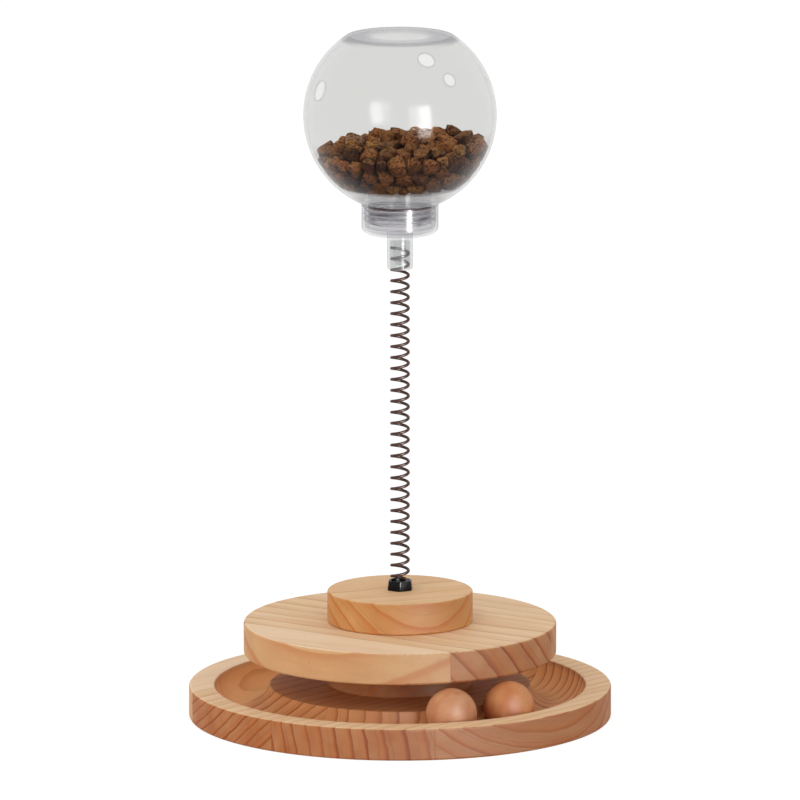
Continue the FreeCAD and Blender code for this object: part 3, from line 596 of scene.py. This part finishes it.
# %% A helper for turned solids
def turned(name, sides, stations, turn=0.0):
    """A closed solid through rings of (radius, height), from its lowest ring upwards, in mm."""
    radius, height = stations[0]
    bpy.ops.object.select_all(action="DESELECT")
    bpy.ops.mesh.primitive_circle_add(
        vertices=sides, radius=radius * MM, fill_type="NGON", location=(0, 0, height * MM),
        rotation=(0, 0, math.radians(turn)))
    piece = bpy.context.object
    piece.name = name
    bpy.ops.object.transform_apply(location=True, rotation=True, scale=True)
    bpy.ops.object.mode_set(mode="EDIT")
    bpy.ops.mesh.select_mode(type="FACE")
    bpy.ops.mesh.select_all(action="SELECT")
    for next_radius, next_height in stations[1:]:
        bpy.ops.mesh.extrude_region_move(
            TRANSFORM_OT_translate={"value": (0, 0, (next_height - height) * MM)})
        share = next_radius / radius
        bpy.ops.transform.resize(value=(share, share, 1), center_override=(0, 0, next_height * MM))
        radius, height = next_radius, next_height
    bpy.ops.mesh.select_all(action="SELECT")
    bpy.ops.mesh.normals_make_consistent(inside=False)
    bpy.ops.object.mode_set(mode="OBJECT")
    return piece


# %% Helpers that select and join
def select_only(*pieces):
    """Select these pieces and nothing else. The first becomes the active one."""
    bpy.ops.object.select_all(action="DESELECT")
    for piece in pieces:
        piece.select_set(True)
    bpy.context.view_layer.objects.active = pieces[0]


def joined(*pieces):
    """Make the pieces one, which is the first of them."""
    select_only(*pieces)
    bpy.ops.object.join()
    return pieces[0]


def pick(piece, kind, wanted):
    """Go into edit mode with only those corners or edges selected that are wanted."""
    bpy.ops.object.mode_set(mode="EDIT")
    bpy.ops.mesh.select_mode(type=kind)
    bpy.ops.mesh.select_all(action="DESELECT")
    bpy.ops.object.mode_set(mode="OBJECT")
    for part in piece.data.vertices if kind == "VERT" else piece.data.edges:
        part.select = wanted(part)
    bpy.ops.object.mode_set(mode="EDIT")


# %% Helpers that cut and soften
def cut_with(piece, tool, operation="DIFFERENCE"):
    """Apply a boolean with another solid and throw that one away."""
    select_only(piece)
    cut = piece.modifiers.new("cut", "BOOLEAN")
    cut.operation = operation
    cut.solver = "EXACT"
    cut.object = tool
    bpy.ops.object.modifier_apply(modifier="cut")
    bpy.data.objects.remove(tool)


def soften_edges(piece, width, segments, angle):
    """Round the sharp edges with a Bevel modifier and shade what is left smooth."""
    select_only(piece)
    bevel = piece.modifiers.new("soft", "BEVEL")
    bevel.width = width
    bevel.segments = segments
    bevel.limit_method = "ANGLE"
    bevel.angle_limit = math.radians(angle)
    bpy.ops.object.modifier_apply(modifier="soft")
    bpy.ops.object.shade_smooth_by_angle(angle=math.radians(angle))


# %% [markdown]
# A thread is a small ridge that climbs round an axis. The Screw modifier sweeps a triangle
# that way, and its two open ends are filled.

# %% Ridges swept by the Screw modifier
def ridge(name, radius, depth, foot, pitch, turns, steps=64):
    """A triangular ridge that climbs round the axis, its edge towards positive depth."""
    bpy.ops.object.select_all(action="DESELECT")
    bpy.ops.mesh.primitive_circle_add(
        vertices=3, radius=abs(depth), fill_type="NOTHING", location=(radius, 0, foot),
        rotation=(math.pi / 2, 0, 0))
    piece = bpy.context.object
    piece.name = name
    bpy.ops.object.mode_set(mode="EDIT")
    bpy.ops.transform.rotate(
        value=math.radians(-90 if depth > 0 else 90), orient_axis="Y",
        center_override=(radius, 0, foot))
    bpy.ops.object.mode_set(mode="OBJECT")
    bpy.ops.object.transform_apply(location=True, rotation=True, scale=True)
    screw = piece.modifiers.new("thread", "SCREW")
    screw.axis = "Z"
    screw.screw_offset = pitch
    screw.iterations = math.floor(turns)
    screw.steps = screw.render_steps = steps
    bpy.ops.object.modifier_apply(modifier="thread")
    bpy.ops.object.mode_set(mode="EDIT")
    bpy.ops.mesh.select_all(action="SELECT")
    bpy.ops.mesh.fill_holes(sides=0)
    bpy.ops.mesh.normals_make_consistent(inside=False)
    bpy.ops.object.mode_set(mode="OBJECT")
    bpy.ops.object.shade_smooth_by_angle(angle=math.radians(40))
    return piece


# %% [markdown]
# ## The seat of the spring
# A moulded black nut holds the foot of the spring. It is a hexagon that leans in, with round
# corners, a turned crown and a bored socket, so it is cut like a nut: the hexagon is beveled,
# trimmed with a turned solid and bored with another.

# %% The hexagon and its round corners
SEAT_FOOT = 76.0
SEAT_HEIGHT = 5.8
SEAT_CORNERS_TURN = -4
CORNER_WIDTH = 1.3 * MM
seat = turned(
    "seat", 6, [(8.3, SEAT_FOOT), (7.61, SEAT_FOOT + SEAT_HEIGHT)], turn=SEAT_CORNERS_TURN)


def climbs(edge):
    """Whether an edge of the hexagon runs from its foot to its top."""
    low_end, high_end = [seat.data.vertices[end].co.z for end in edge.vertices]
    return abs(low_end - high_end) > SEAT_HEIGHT / 2 * MM


pick(seat, "EDGE", climbs)
bpy.ops.mesh.bevel(offset=CORNER_WIDTH, segments=4, affect="EDGES")
bpy.ops.object.mode_set(mode="OBJECT")
print("hexagon with round corners, faces:", len(seat.data.polygons))

# %% The turned crown and the bores
crown = turned("crown", 72, [
    (9.0, 75.0), (8.2, 80.6), (7.6, 81.25), (7.0, 81.65), (6.3, 81.78), (5.2, 81.8), (5.0, 82.5)])
cut_with(seat, crown, "INTERSECT")
socket = turned("socket", 64, [(5.25, 76.9), (5.25, 81.1), (5.35, 81.5), (5.9, 82.0)])
cut_with(seat, socket)
screw_hole = turned("screw_hole", 32, [(1.9, 75.5), (1.9, 77.5)])
cut_with(seat, screw_hole)
soften_edges(seat, 0.14 * MM, 2, 40)
seat.name = "moulded_seat"
paint(seat, black_plastic())
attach(seat, "base")
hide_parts("spring_seat")
print("seat faces:", len(seat.data.polygons))

# %% [markdown]
# ## Screws and dowels
# Three wood screws come up through the base and three go down through the upper disc, and a
# longer one holds the seat. None shows in the photograph, but a screw has a recess, a shank
# and a thread. One of each kind is turned, gets a cross cut into its head and the ridge of
# its thread, and is copied to its places.


# %% Helpers for screws
def cross_recess(piece, head, depth, reach):
    """Cut a cross for a screwdriver into a head that faces up at a height, in mm."""
    for turn in (0, 90):
        bpy.ops.object.select_all(action="DESELECT")
        bpy.ops.mesh.primitive_cube_add(
            size=1, location=(0, 0, (head - depth / 2 + 0.2) * MM),
            rotation=(0, 0, math.radians(turn)))
        blade = bpy.context.object
        blade.scale = (reach * 2 * MM, 0.95 * MM, (depth + 0.4) * MM)
        bpy.ops.object.transform_apply(location=True, rotation=True, scale=True)
        pick(blade, "VERT", lambda corner: corner.co.z < (head - depth / 2) * MM)
        bpy.ops.transform.resize(value=(0.45, 0.45, 1), center_override=(0, 0, head * MM))
        bpy.ops.object.mode_set(mode="OBJECT")
        cut_with(piece, blade)


THREAD_SINK = 0.05  # how far a ridge stands in its core, in mm


def threaded(piece, core, crest, foot, pitch, turns):
    """Join the ridge of a thread to a screw, all in mm."""
    thread = ridge(
        "thread", (core - THREAD_SINK) * MM, (crest - core + THREAD_SINK) * MM, foot * MM,
        pitch * MM, turns, 18)
    return joined(piece, thread)


def copies_of(model, name, places, flip=False):
    """Copies of a model whose head faces up at height 0, joined to one piece."""
    made = []
    for x, y, z in places:
        copy = model.copy()
        copy.data = model.data.copy()
        turn = Matrix.Rotation(math.pi, 4, "X") if flip else Matrix.Identity(4)
        copy.data.transform(Matrix.Translation((x * MM, y * MM, z * MM)) @ turn)
        bpy.context.collection.objects.link(copy)
        made.append(copy)
    bpy.data.objects.remove(model)
    piece = joined(*made)
    piece.name = name
    return piece


# %% One wood screw
def wood_screw():
    """A countersunk wood screw 4 by 32 mm, its head at height 0."""
    screw = turned("wood_screw", 28, [
        (0.1, -32), (1.25, -28), (1.35, -12), (1.9, -11), (1.95, -2.3), (3.85, -0.35),
        (4.0, -0.25), (4.0, 0)])
    cross_recess(screw, 0, 2.0, 2.1)
    soften_edges(screw, 0.06 * MM, 1, 50)
    return threaded(screw, 1.32, 1.95, -28.2, 1.8, 8)


def around(radius, height, first):
    """Three places on a circle, the first at an angle in degrees."""
    ways = [compass(first + step) for step in (0, 120, 240)]
    return [(radius * sideways, radius * up, height) for sideways, up in ways]


# %% The screws in their places
SCREW_CIRCLE = 25
LOW_HEADS = 0.4
HIGH_HEADS = 56.6
PAN_HEAD = 79.9
low_screws = copies_of(
    wood_screw(), "countersunk_screws_below", around(SCREW_CIRCLE, LOW_HEADS, 0), flip=True)
high_screws = copies_of(
    wood_screw(), "countersunk_screws_above", around(SCREW_CIRCLE, HIGH_HEADS, 60))
pan_screw = turned("pan_screw", 32, [
    (0.1, -30.2), (1.15, -26.5), (1.25, -7), (1.7, -6), (1.75, -2.2), (2.9, -2.2), (2.9, -1.5),
    (2.75, -0.9), (2.35, -0.35), (1.7, -0.05), (1.3, 0)])
cross_recess(pan_screw, 0, 1.5, 1.7)
soften_edges(pan_screw, 0.05 * MM, 1, 50)
pan_screw = copies_of(
    threaded(pan_screw, 1.22, 1.72, -26.6, 1.5, 11), "pan_head_screw", [(0, 0, PAN_HEAD)])
for screw, node in (
        (low_screws, "base_screws"), (high_screws, "deck_screws"), (pan_screw, "seat_screw")):
    paint(screw, steel)
    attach(screw, "base")
    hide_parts(node)
    print(screw.name, "faces:", len(screw.data.polygons))

# %% [markdown]
# Two beech dowels join the small top disc to the wide one. Their flutes let air and glue out
# of the hole. A turned pin gets them when every second column of its corners is drawn in.

# %% Fluted dowels
FLUTED_SIDES = 40
DOWEL_CIRCLE = 32
DOWEL_MIDDLE = 57
DOWEL_TURN = 30


def in_a_flute(corner):
    """Whether a corner of the pin stands in every second column."""
    column = round(math.atan2(corner.co.y, corner.co.x) / (2 * math.pi) * FLUTED_SIDES)
    return column % 2 == 1


dowel = turned("dowel", FLUTED_SIDES, [(3.1, -12), (4.0, -10.9), (4.0, 10.9), (3.1, 12)])
pick(dowel, "VERT", in_a_flute)
bpy.ops.transform.resize(value=(0.93, 0.93, 1), center_override=(0, 0, 0))
bpy.ops.object.mode_set(mode="OBJECT")
bpy.ops.object.shade_smooth_by_angle(angle=math.radians(20))
sideways, up = compass(DOWEL_TURN)
dowels = copies_of(dowel, "fluted_dowels", [
    (side * DOWEL_CIRCLE * sideways, side * DOWEL_CIRCLE * up, DOWEL_MIDDLE) for side in (1, -1)])
paint(dowels, dowel_beech)
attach(dowels, "base")
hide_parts("dowel_pins")
print("dowels, faces:", len(dowels.data.polygons))

# %% [markdown]
# ## The spring
# The spring is one wire wound into a coil, drawn in at its foot. It could be a profile
# swept by a Screw modifier, but the drawn-in foot needs a radius that changes on the way,
# so the wire is a curve through points from the coil's own formula, bevelled round and
# made a mesh. The toy bends at two places, and the wire is cut into two halves in the
# middle between them.

# %% Sizes of the coil
WIRE = 1.8 * MM
COIL_RADIUS = 5.0 * MM
COIL_PITCH = 6.58 * MM
FOOT_RADIUS = 4.15 * MM
FOOT_PITCH = 2.35 * MM
FOOT_TURNS = 1.25
DRAW_IN_TURNS = 0.5
ALL_TURNS = 31.75
POINTS_PER_TURN = 32
WIRE_ROUNDNESS = 4
SIDE_JOINT, FORE_JOINT = [next(
    joint for joint in frame["joints"] if joint["name"] == name)["pos_m"][2]
    for name in ("sway_side", "sway_fore")]
BEND_REACH = (FORE_JOINT - SIDE_JOINT) / 2 - MM
WIRE_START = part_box("seat_washer")[0].z + WIRE / 2 + 0.05 * MM
print("the spring bends at mm:", round(SIDE_JOINT / MM, 1), round(FORE_JOINT / MM, 1))


# %% Winding the wire
def wire_place(turn):
    """The middle of the wire after some turns from its end in the seat."""
    share = min(max((turn - FOOT_TURNS) / DRAW_IN_TURNS, 0), 1)
    radius = FOOT_RADIUS * (1 - share) + COIL_RADIUS * share
    closed = min(turn, FOOT_TURNS)
    angle = 2 * math.pi * (turn - FOOT_TURNS)
    height = WIRE_START + closed * FOOT_PITCH + (turn - closed) * COIL_PITCH
    return radius * math.cos(angle), radius * math.sin(angle), height


def wound_wire(name, first, last):
    """The stretch of the coil between two counts of turns, as a round wire."""
    bpy.ops.object.select_all(action="DESELECT")
    bpy.ops.curve.primitive_nurbs_path_add()
    wire = bpy.context.object
    wire.name = name
    curve = wire.data
    curve.splines.clear()
    spline = curve.splines.new("POLY")
    count = round((last - first) * POINTS_PER_TURN)
    spline.points.add(count)
    for index, point in enumerate(spline.points):
        point.co = (*wire_place(first + (last - first) * index / count), 1)
    curve.bevel_depth = WIRE / 2
    curve.bevel_resolution = WIRE_ROUNDNESS
    curve.use_fill_caps = True
    bpy.ops.object.convert(target="MESH")
    bpy.ops.object.shade_smooth_by_angle(angle=math.radians(50))
    return wire


# %% The coating of the wire
def bronze_coating():
    """Dark brown coating, a little cloudy, with pale specks that are painted highlights."""
    material, start = new_material("bronze_brown_coating")
    x, y, z = place_in_mm(start)
    cloud = vector(x, y, z).noise(0.9, 3)
    # Painted highlights: pale pinkish specks at random over the wire.
    specks = vector(x, y, z).noise(6.0, 2).rise(0.55, 0.75)
    colour = cloud.between(srgb(46, 28, 22), srgb(90, 60, 51))
    colour = (specks * 0.4).between(colour, srgb(156, 124, 112))
    close_solid(start, colour, cloud * 0.15 + 0.36, (0.2, 0.0001, cloud + specks * 0.4),
                {"Metallic": 0.1, "IOR": 1.4, "Specular IOR Level": SHINE})
    return material


# %% Two halves of the wire
coating = bronze_coating()
cut_height = (SIDE_JOINT + FORE_JOINT) / 2
cut_turn = FOOT_TURNS + (cut_height - WIRE_START - FOOT_TURNS * FOOT_PITCH) / COIL_PITCH
lower_coil = wound_wire("spring_lower_coils", 0, cut_turn)
upper_coil = wound_wire("spring_upper_coils", cut_turn, ALL_TURNS)
for coil in (lower_coil, upper_coil):
    paint(coil, coating)
    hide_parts("spring")
SIDE_JOINT - BEND_REACH
SIDE_JOINT + BEND_REACH
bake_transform(lower_coil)
FORE_JOINT - BEND_REACH
FORE_JOINT + BEND_REACH
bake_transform(upper_coil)
print("coil top in mm:", round(wire_place(ALL_TURNS)[2] / MM, 1))


# %% [markdown]
# ## Clear plastic
# Thin clear plastic hardly bends what is behind it, so each wall lets the straight ray
# pass, a little dimmed, and mirrors more towards its edge. Where the wall is seen almost
# along itself, it is long to look through and turns grey.


# %% Rims of the treat holes
HOLES = ((207.1, 19.6, 12), (306.5, 29.7, 8), (72, 26.1, 10))  # azimuth, rise and width
print("widths of the treat holes in mm:", [width for azimuth, rise, width in HOLES])


def hole_rims(x, y, up):
    """1 on a thin ring round each treat hole of the globe."""
    rims = x * 0
    for azimuth, rise, width in HOLES:
        (east, north), (level, climb) = compass(azimuth), compass(rise)
        along = x * (level * east) + y * (level * north) + up * climb
        off = x.math("SQRT", x.math("MAXIMUM", x * x + y * y + up * up - along * along, 0.0))
        ring = 1 - x.math("ABSOLUTE", off - (width / 2 + 0.25)).rise(0.1, 0.4)
        rims = rims + ring * along.rise(0, 5)
    return rims


# %% [markdown]
# The plastic has three parts: what passes straight through, a thin grey haze, and the shine.
# Mix shaders weigh them. The globe gets a greyer crown and bowl, partly where the wall is thick
# and seen along itself and partly as painted reflection of darker surroundings. The neck gets
# dark blotches and a dark brown line, painted reflections of the treats, as in the photograph.

# %% A material for clear plastic
SMEAR_GREY = srgb(176, 178, 184)
MARK_GREY = srgb(104, 106, 116)
# The next two colours are painted reflections of the treats in the neck, and the last height below
# says where the brown line of them lies.
NECK_REFLECTION_GREY = srgb(66, 56, 56)
NECK_REFLECTION_BROWN = srgb(70, 18, 8)
CROWN_HEIGHTS = (404.5, 407)
BOWL_HEIGHTS = (306, 313)
REFLECTION_LINE_HEIGHT = 307.2


def clear_plastic(name, passed, grey, skin, haze, limb, mirrored,
                  edge_shine=0.45, globe=None, reflection_share=0.0):
    """Clear plastic. passed is the share of light that one face lets through, haze the grey
    on it where it is seen straight and limb the grey where its outside is seen along itself,
    mirrored the shine seen straight and edge_shine what it gains along itself. The outside
    lies beyond the radius skin from the axis, or for the globe from a middle at the height
    given as globe. The globe also gets a greyer crown and bowl, partly painted reflection,
    rims round its holes and a dark brown line on the cap, a painted reflection of the treats.
    The last argument is the share of dark blotches inside the neck, painted reflections of
    the treats."""
    material, start = new_material(name)
    x, y, z = place_in_mm(start)
    front = 0 - y
    smear = vector(x, y, z / 3).noise(0.12, 3)
    radius = start.math("SQRT", x * x + y * y)
    up = z - globe if globe else z * 0
    outside = start.math("SQRT", x * x + y * y + up * up).rise(skin - 0.2, skin + 0.2)
    # Painted reflection of the treats: dark blotches on the front of the neck.
    specks = vector(x / 9, y / 9, z / 3).noise(0.9, 2).rise(0.36, 0.7)
    neck_reflection = specks * (1 - z.rise(304.5, 306)) * front.rise(0, 6) * reflection_share
    facing = start.node("LayerWeight", None, {"Blend": 0.5}, "Facing")
    marks, reflection_line = z * 0, z * 0
    if globe:
        # The greyer crown and bowl: partly the thick wall seen along itself, partly painted
        # reflection of darker surroundings.
        crown = z.rise(*CROWN_HEIGHTS) * (radius.rise(14, 23) * 0.4 + 0.09)
        bowl = (1 - z.rise(*BOWL_HEIGHTS)) * radius.rise(21, 23) * 0.6
        marks = (crown + bowl) * facing.rise(0.3, 0.75) + hole_rims(x, y, up) * 0.14
        # Painted reflection of the treats: a dark brown line on the front at the rim of the cap.
        off_line = start.math("ABSOLUTE", z - REFLECTION_LINE_HEIGHT)
        reflection_line = (1 - off_line.rise(0.35, 0.75)) * front.rise(7, 11)
    through = start.node("BsdfTransparent", None, {"Color": (*passed, 1)})
    colour = smear.between(grey, SMEAR_GREY)
    colour = (marks * 2).between(colour, MARK_GREY)
    # The painted reflections of the treats darken the neck here.
    colour = neck_reflection.rise(0, 0.3).between(colour, NECK_REFLECTION_GREY)
    colour = reflection_line.rise(0, 0.3).between(colour, NECK_REFLECTION_BROWN)
    body = start.node("BsdfPrincipled", None, {
        "Base Color": colour, "Roughness": 0.4, "IOR": 1.45, "Specular IOR Level": SHINE})
    gloss = start.node("BsdfGlossy", None, {"Color": WHITE, "Roughness": 0.12})
    greyed = facing.rise(0.6, 0.95) * limb * outside + (smear * 0.6 + 0.7) * haze
    wall = start.node("MixShader", None, {0: greyed + marks + neck_reflection + reflection_line, 1: through, 2: body})
    close_material(start, start.node("MixShader", None, {
        0: facing ** 4 * edge_shine + mirrored, 1: wall, 2: gloss}))
    return material


# %% The clear pieces
paint(nodes["treat_globe"], clear_plastic(
    "globe_plastic", (0.904, 0.904, 0.9), srgb(124, 128, 138), 56.2,
    haze=0.003, limb=0.24, mirrored=0.0015, globe=GLOBE_MIDDLE.z / MM))
# The treat floor carries the painted reflection of the treats in its neck.
paint(nodes["treat_floor"], clear_plastic(
    "floor_plastic", (0.97, 0.97, 0.975), srgb(130, 130, 138), 18.2,
    haze=0.1, limb=0.25, mirrored=0.002, reflection_share=0.5))
cap_plastic = clear_plastic(
    "cap_plastic", (0.955, 0.952, 0.96), srgb(150, 148, 158), 22.0,
    haze=0.1, limb=0.7, mirrored=0.0038)
thread_plastic = clear_plastic(
    "thread_plastic", (0.96, 0.957, 0.965), srgb(238, 235, 242), 20.0,
    haze=0.6, limb=0.3, mirrored=0.001, edge_shine=0.02)
stem_plastic = clear_plastic(
    "stem_plastic", (0.97, 0.975, 0.975), srgb(186, 190, 188), 7.3,
    haze=0.2, limb=0.5, mirrored=0.003)
for name, plastic in (
        ("screw_cap", cap_plastic), ("stem", stem_plastic), ("spring_plug", stem_plastic)):
    paint(nodes[name], plastic)
print("clear materials:", cap_plastic.name, thread_plastic.name, stem_plastic.name)

# %% [markdown]
# ## The thread of the cap
# The cap is screwed onto the neck, and its thread shows through the plastic as pale slanting
# rings. It is swept like the screws' threads. The cap's ridge lies a third of a turn's rise
# above the neck's.

# %% The two ridges
NECK_RIDGE = (20.75 + THREAD_SINK) * MM
CAP_RIDGE = (21.35 - THREAD_SINK) * MM
RIDGE_DEPTH = 0.32 * MM
RIDGE_PITCH = 3.2 * MM
RIDGE_TURNS = 3
neck_thread = ridge(
    "neck_thread", NECK_RIDGE, RIDGE_DEPTH, 296.6 * MM, RIDGE_PITCH, RIDGE_TURNS)
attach(neck_thread, "globe")
cap_thread = ridge(
    "cap_thread", CAP_RIDGE, -RIDGE_DEPTH, 297.6 * MM, RIDGE_PITCH, RIDGE_TURNS)
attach(cap_thread, "feeder")
for thread in (neck_thread, cap_thread):
    paint(thread, thread_plastic)
    top = max(corner.co.z for corner in thread.data.vertices)
    print(thread.name, "ends at", round(top / MM, 1), "mm")

# %% [markdown]
# ## The treats
# A few hundred lumps fill the globe up to a low mound that rises to the right. Six lumps are
# modelled from cubes, cut up, rounded and pushed about at random, and copied. Where the
# copies lie comes from balls that push each other aside between the wall, the floor and the
# surface of the mound until they rest.

# %% Sizes of the heap
LUMP_COUNT = 262
LUMP_HALF = (3.6 * MM, 6.6 * MM)
MOUND_TOP = 351 * MM
MOUND_SLOPE = 0.08
MOUND_DROP = 9 * MM
# OPEN_GAP is the distance over which the painted shade of a gap fades out.
OPEN_GAP = 2.1 * MM
SETTLING_STEPS = 120
CLOSENESS = 0.93  # how near two resting lumps may come, as a share of their reach
PUSH_SHARE = 0.3  # the share of an overlap that one step clears
WALL_REST = 0.65  # where a lump rests on the wall, in half sizes
FLOOR_REST = 0.6  # and on the floor
HEAP_REACH = 0.05  # the radius at which the mound has dropped by MOUND_DROP
WALL_THICKNESS = 1.5 * MM
GLOBE_INSIDE = GLOBE_RADIUS - WALL_THICKNESS
floor_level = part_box("treat_floor")[1].z
heap_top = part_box("kibble")[1].z
print("treat floor and heap top in mm:", round(floor_level / MM, 1), round(heap_top / MM, 1))


# %% Where the lumps lie
def settled_places():
    """Places and half sizes of lumps after they have pushed each other aside."""
    draw = np.random.default_rng(11)
    half = draw.uniform(*LUMP_HALF, LUMP_COUNT)
    places = draw.uniform(-0.045, 0.045, (LUMP_COUNT, 3))
    places[:, 2] = draw.uniform(floor_level, MOUND_TOP, LUMP_COUNT)
    uneven = draw.uniform(-0.7, 0.5, LUMP_COUNT) * half
    reach = half[:, None] + half[None, :]
    np.fill_diagonal(reach, 0)
    for _ in range(SETTLING_STEPS):
        apart = places[:, None] - places[None, :]
        distance = np.sqrt((apart ** 2).sum(2)) + 1e-9
        push = np.clip(reach * CLOSENESS - distance, 0, None) / distance
        places += (apart * push[:, :, None]).sum(1) * PUSH_SHARE
        out = (places[:, 0] ** 2 + places[:, 1] ** 2) / HEAP_REACH ** 2
        surface = MOUND_TOP + MOUND_SLOPE * places[:, 0] - MOUND_DROP * out - half + uneven
        places[:, 2] = np.minimum(places[:, 2], surface)
        from_middle = places - np.array(GLOBE_MIDDLE)
        length = np.sqrt((from_middle ** 2).sum(1))
        room = GLOBE_INSIDE - half * WALL_REST
        over = length > room
        places[over] -= from_middle[over] * (1 - room[over] / length[over])[:, None]
        places[:, 2] = np.maximum(places[:, 2], floor_level + half * FLOOR_REST)
    return places, half


# %% One lump
BODY_SIZE = 1.45
BUD_SIZE = 1.0


def lump_shape(seed):
    """One treat, two units across: a body and a bud, cut-up cubes that are rounded, pushed
    about and grown together."""
    draw = random.Random(seed)
    bud_place = (0.55, draw.uniform(-0.3, 0.3), draw.uniform(-0.4, 0.4))
    grown = []
    for size, place in ((BODY_SIZE, (0, 0, 0)), (BUD_SIZE, bud_place)):
        bpy.ops.object.select_all(action="DESELECT")
        bpy.ops.mesh.primitive_cube_add(size=size, location=place)
        bpy.ops.object.mode_set(mode="EDIT")
        bpy.ops.mesh.subdivide(number_cuts=1)
        bpy.ops.transform.tosphere(value=0.75)
        bpy.ops.transform.vertex_random(offset=0.27 * size, seed=seed * 2 + (size == BUD_SIZE))
        bpy.ops.object.mode_set(mode="OBJECT")
        grown.append(bpy.context.object)
    lump = joined(*grown)
    bpy.ops.object.transform_apply(location=True)
    bpy.ops.object.shade_smooth_by_angle(angle=math.radians(48))
    return lump


# %% [markdown]
# The treats are baked crumb, brown with ochre and pinkish lumps among them. Each lump
# carries its own tone as an attribute of its mesh, and a second attribute says how open its
# surface lies, so that the gaps between the lumps get painted shade. Faces that look up are
# painted lighter and faces that look down darker, and the pits are painted darker too: all
# of these are painted light and shade.

# %% A material for baked crumb
TREAT_DARK = srgb(84, 40, 22)
TREAT_BROWN = srgb(186, 112, 58)
TREAT_OCHRE = srgb(196, 136, 76)
TREAT_PINK = srgb(190, 148, 128)
TREAT_GRAIN = srgb(214, 156, 108)
# The next four colours are painted: light on upper faces, shade on lower faces, in the gaps and in
# the pits.
TREAT_LIT = srgb(226, 166, 104)
TREAT_SHADE = srgb(38, 14, 8)
TREAT_GAP_SHADE = srgb(12, 4, 3)
TREAT_PIT_SHADE = srgb(24, 7, 4)


def dry_treat():
    """Baked crumb: red-brown, with ochre and pinkish lumps, crumbly all over. Upper faces get
    painted light, and lower faces, gaps and pits get painted shade.
    """
    material, start = new_material("dry_treat")
    x, y, z = place_in_mm(start)
    batch = start.node("Attribute", {"attribute_name": "batch"}, None, "Fac")
    open_air = start.node("Attribute", {"attribute_name": "open"}, None, "Fac")
    crumb = vector(x, y, z).noise(0.55, 4, 0.7)
    pits = vector(x, y, z).noise(0.9, 2, 0.55).rise(0.36, 0.54)
    colour = batch.rise(0.0, 0.8).between(TREAT_DARK, TREAT_BROWN)
    colour = batch.rise(0.8, 0.85).between(colour, TREAT_OCHRE)
    colour = batch.rise(0.91, 0.94).between(colour, TREAT_PINK)
    colour = (crumb.rise(0.5, 0.8) * 0.4).between(colour, TREAT_GRAIN)
    # Painted light on faces that look up and painted shade on faces that look down.
    faces_up = facing_up(start)
    colour = (faces_up.rise(0.1, 0.95) * 0.4).between(colour, TREAT_LIT)
    colour = ((1 - faces_up.rise(-0.75, 0.1)) * 0.6).between(colour, TREAT_SHADE)
    # Painted shade in the gaps where a neighbouring lump comes close.
    colour = ((1 - open_air.rise(0.0, 1.0)) * 0.97).between(colour, TREAT_GAP_SHADE)
    # Painted shade in the pits of the crumb.
    colour = ((1 - pits) * 0.75).between(colour, TREAT_PIT_SHADE)
    close_solid(start, colour, crumb * 0.3 + 0.5, (1.0, 0.0012, crumb + pits * 0.7),
                {"IOR": 1.42, "Specular IOR Level": SHINE / 3})
    return material


# %% The heap
CLEAR_OF_WALL = 0.2 * MM
CLEAR_OF_FLOOR = 0.1 * MM


def treat_heap():
    """All lumps in one mesh, each with its own tone in the attribute batch. The attribute open
    falls to 0 where a neighbour comes close, for the painted shade in the gaps between the lumps."""
    shapes = [lump_shape(seed) for seed in range(6)]
    places, half = settled_places()
    draw = random.Random(3)
    copies = []
    for index, (place, size) in enumerate(zip(places, half)):
        shape = draw.choice(shapes)
        lump = shape.copy()
        lump.data = shape.data.copy()
        turn = (Matrix.Rotation(draw.uniform(0, 6.3), 4, "X")
                @ Matrix.Rotation(draw.uniform(0, 6.3), 4, "Z"))
        stretch = Matrix.Diagonal((
            draw.uniform(0.85, 1.15), draw.uniform(0.85, 1.1), draw.uniform(0.7, 0.95), 1))
        sized = Matrix.Scale(size * 1.02, 4)
        lump.data.transform(Matrix.Translation(place) @ turn @ stretch @ sized)
        corners = np.array([corner.co for corner in lump.data.vertices])
        room = np.sqrt(((corners[:, None] - places[None, :]) ** 2).sum(2)) - half * 0.9
        room[:, index] = 1
        gap = lump.data.attributes.new("open", "FLOAT", "POINT")
        gap.data.foreach_set("value", np.clip(room.min(1) / OPEN_GAP, 0, 1))
        tone = lump.data.attributes.new("batch", "FLOAT", "POINT")
        tone.data.foreach_set("value", [draw.random()] * len(lump.data.vertices))
        bpy.context.collection.objects.link(lump)
        copies.append(lump)
    for shape in shapes:
        bpy.data.objects.remove(shape)
    heap = joined(*copies)
    heap.name = "treat_heap"
    for corner in heap.data.vertices:
        out = corner.co - GLOBE_MIDDLE
        if out.length > GLOBE_INSIDE - CLEAR_OF_WALL:
            corner.co = GLOBE_MIDDLE + out.normalized() * (GLOBE_INSIDE - CLEAR_OF_WALL)
        corner.co.z = max(corner.co.z, floor_level + CLEAR_OF_FLOOR)
    return heap


heap = treat_heap()
paint(heap, dry_treat())
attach(heap, "globe")
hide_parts("kibble")
top = max(corner.co.z for corner in heap.data.vertices)
print("lumps:", LUMP_COUNT, "heap top in mm:", round(top / MM, 1))
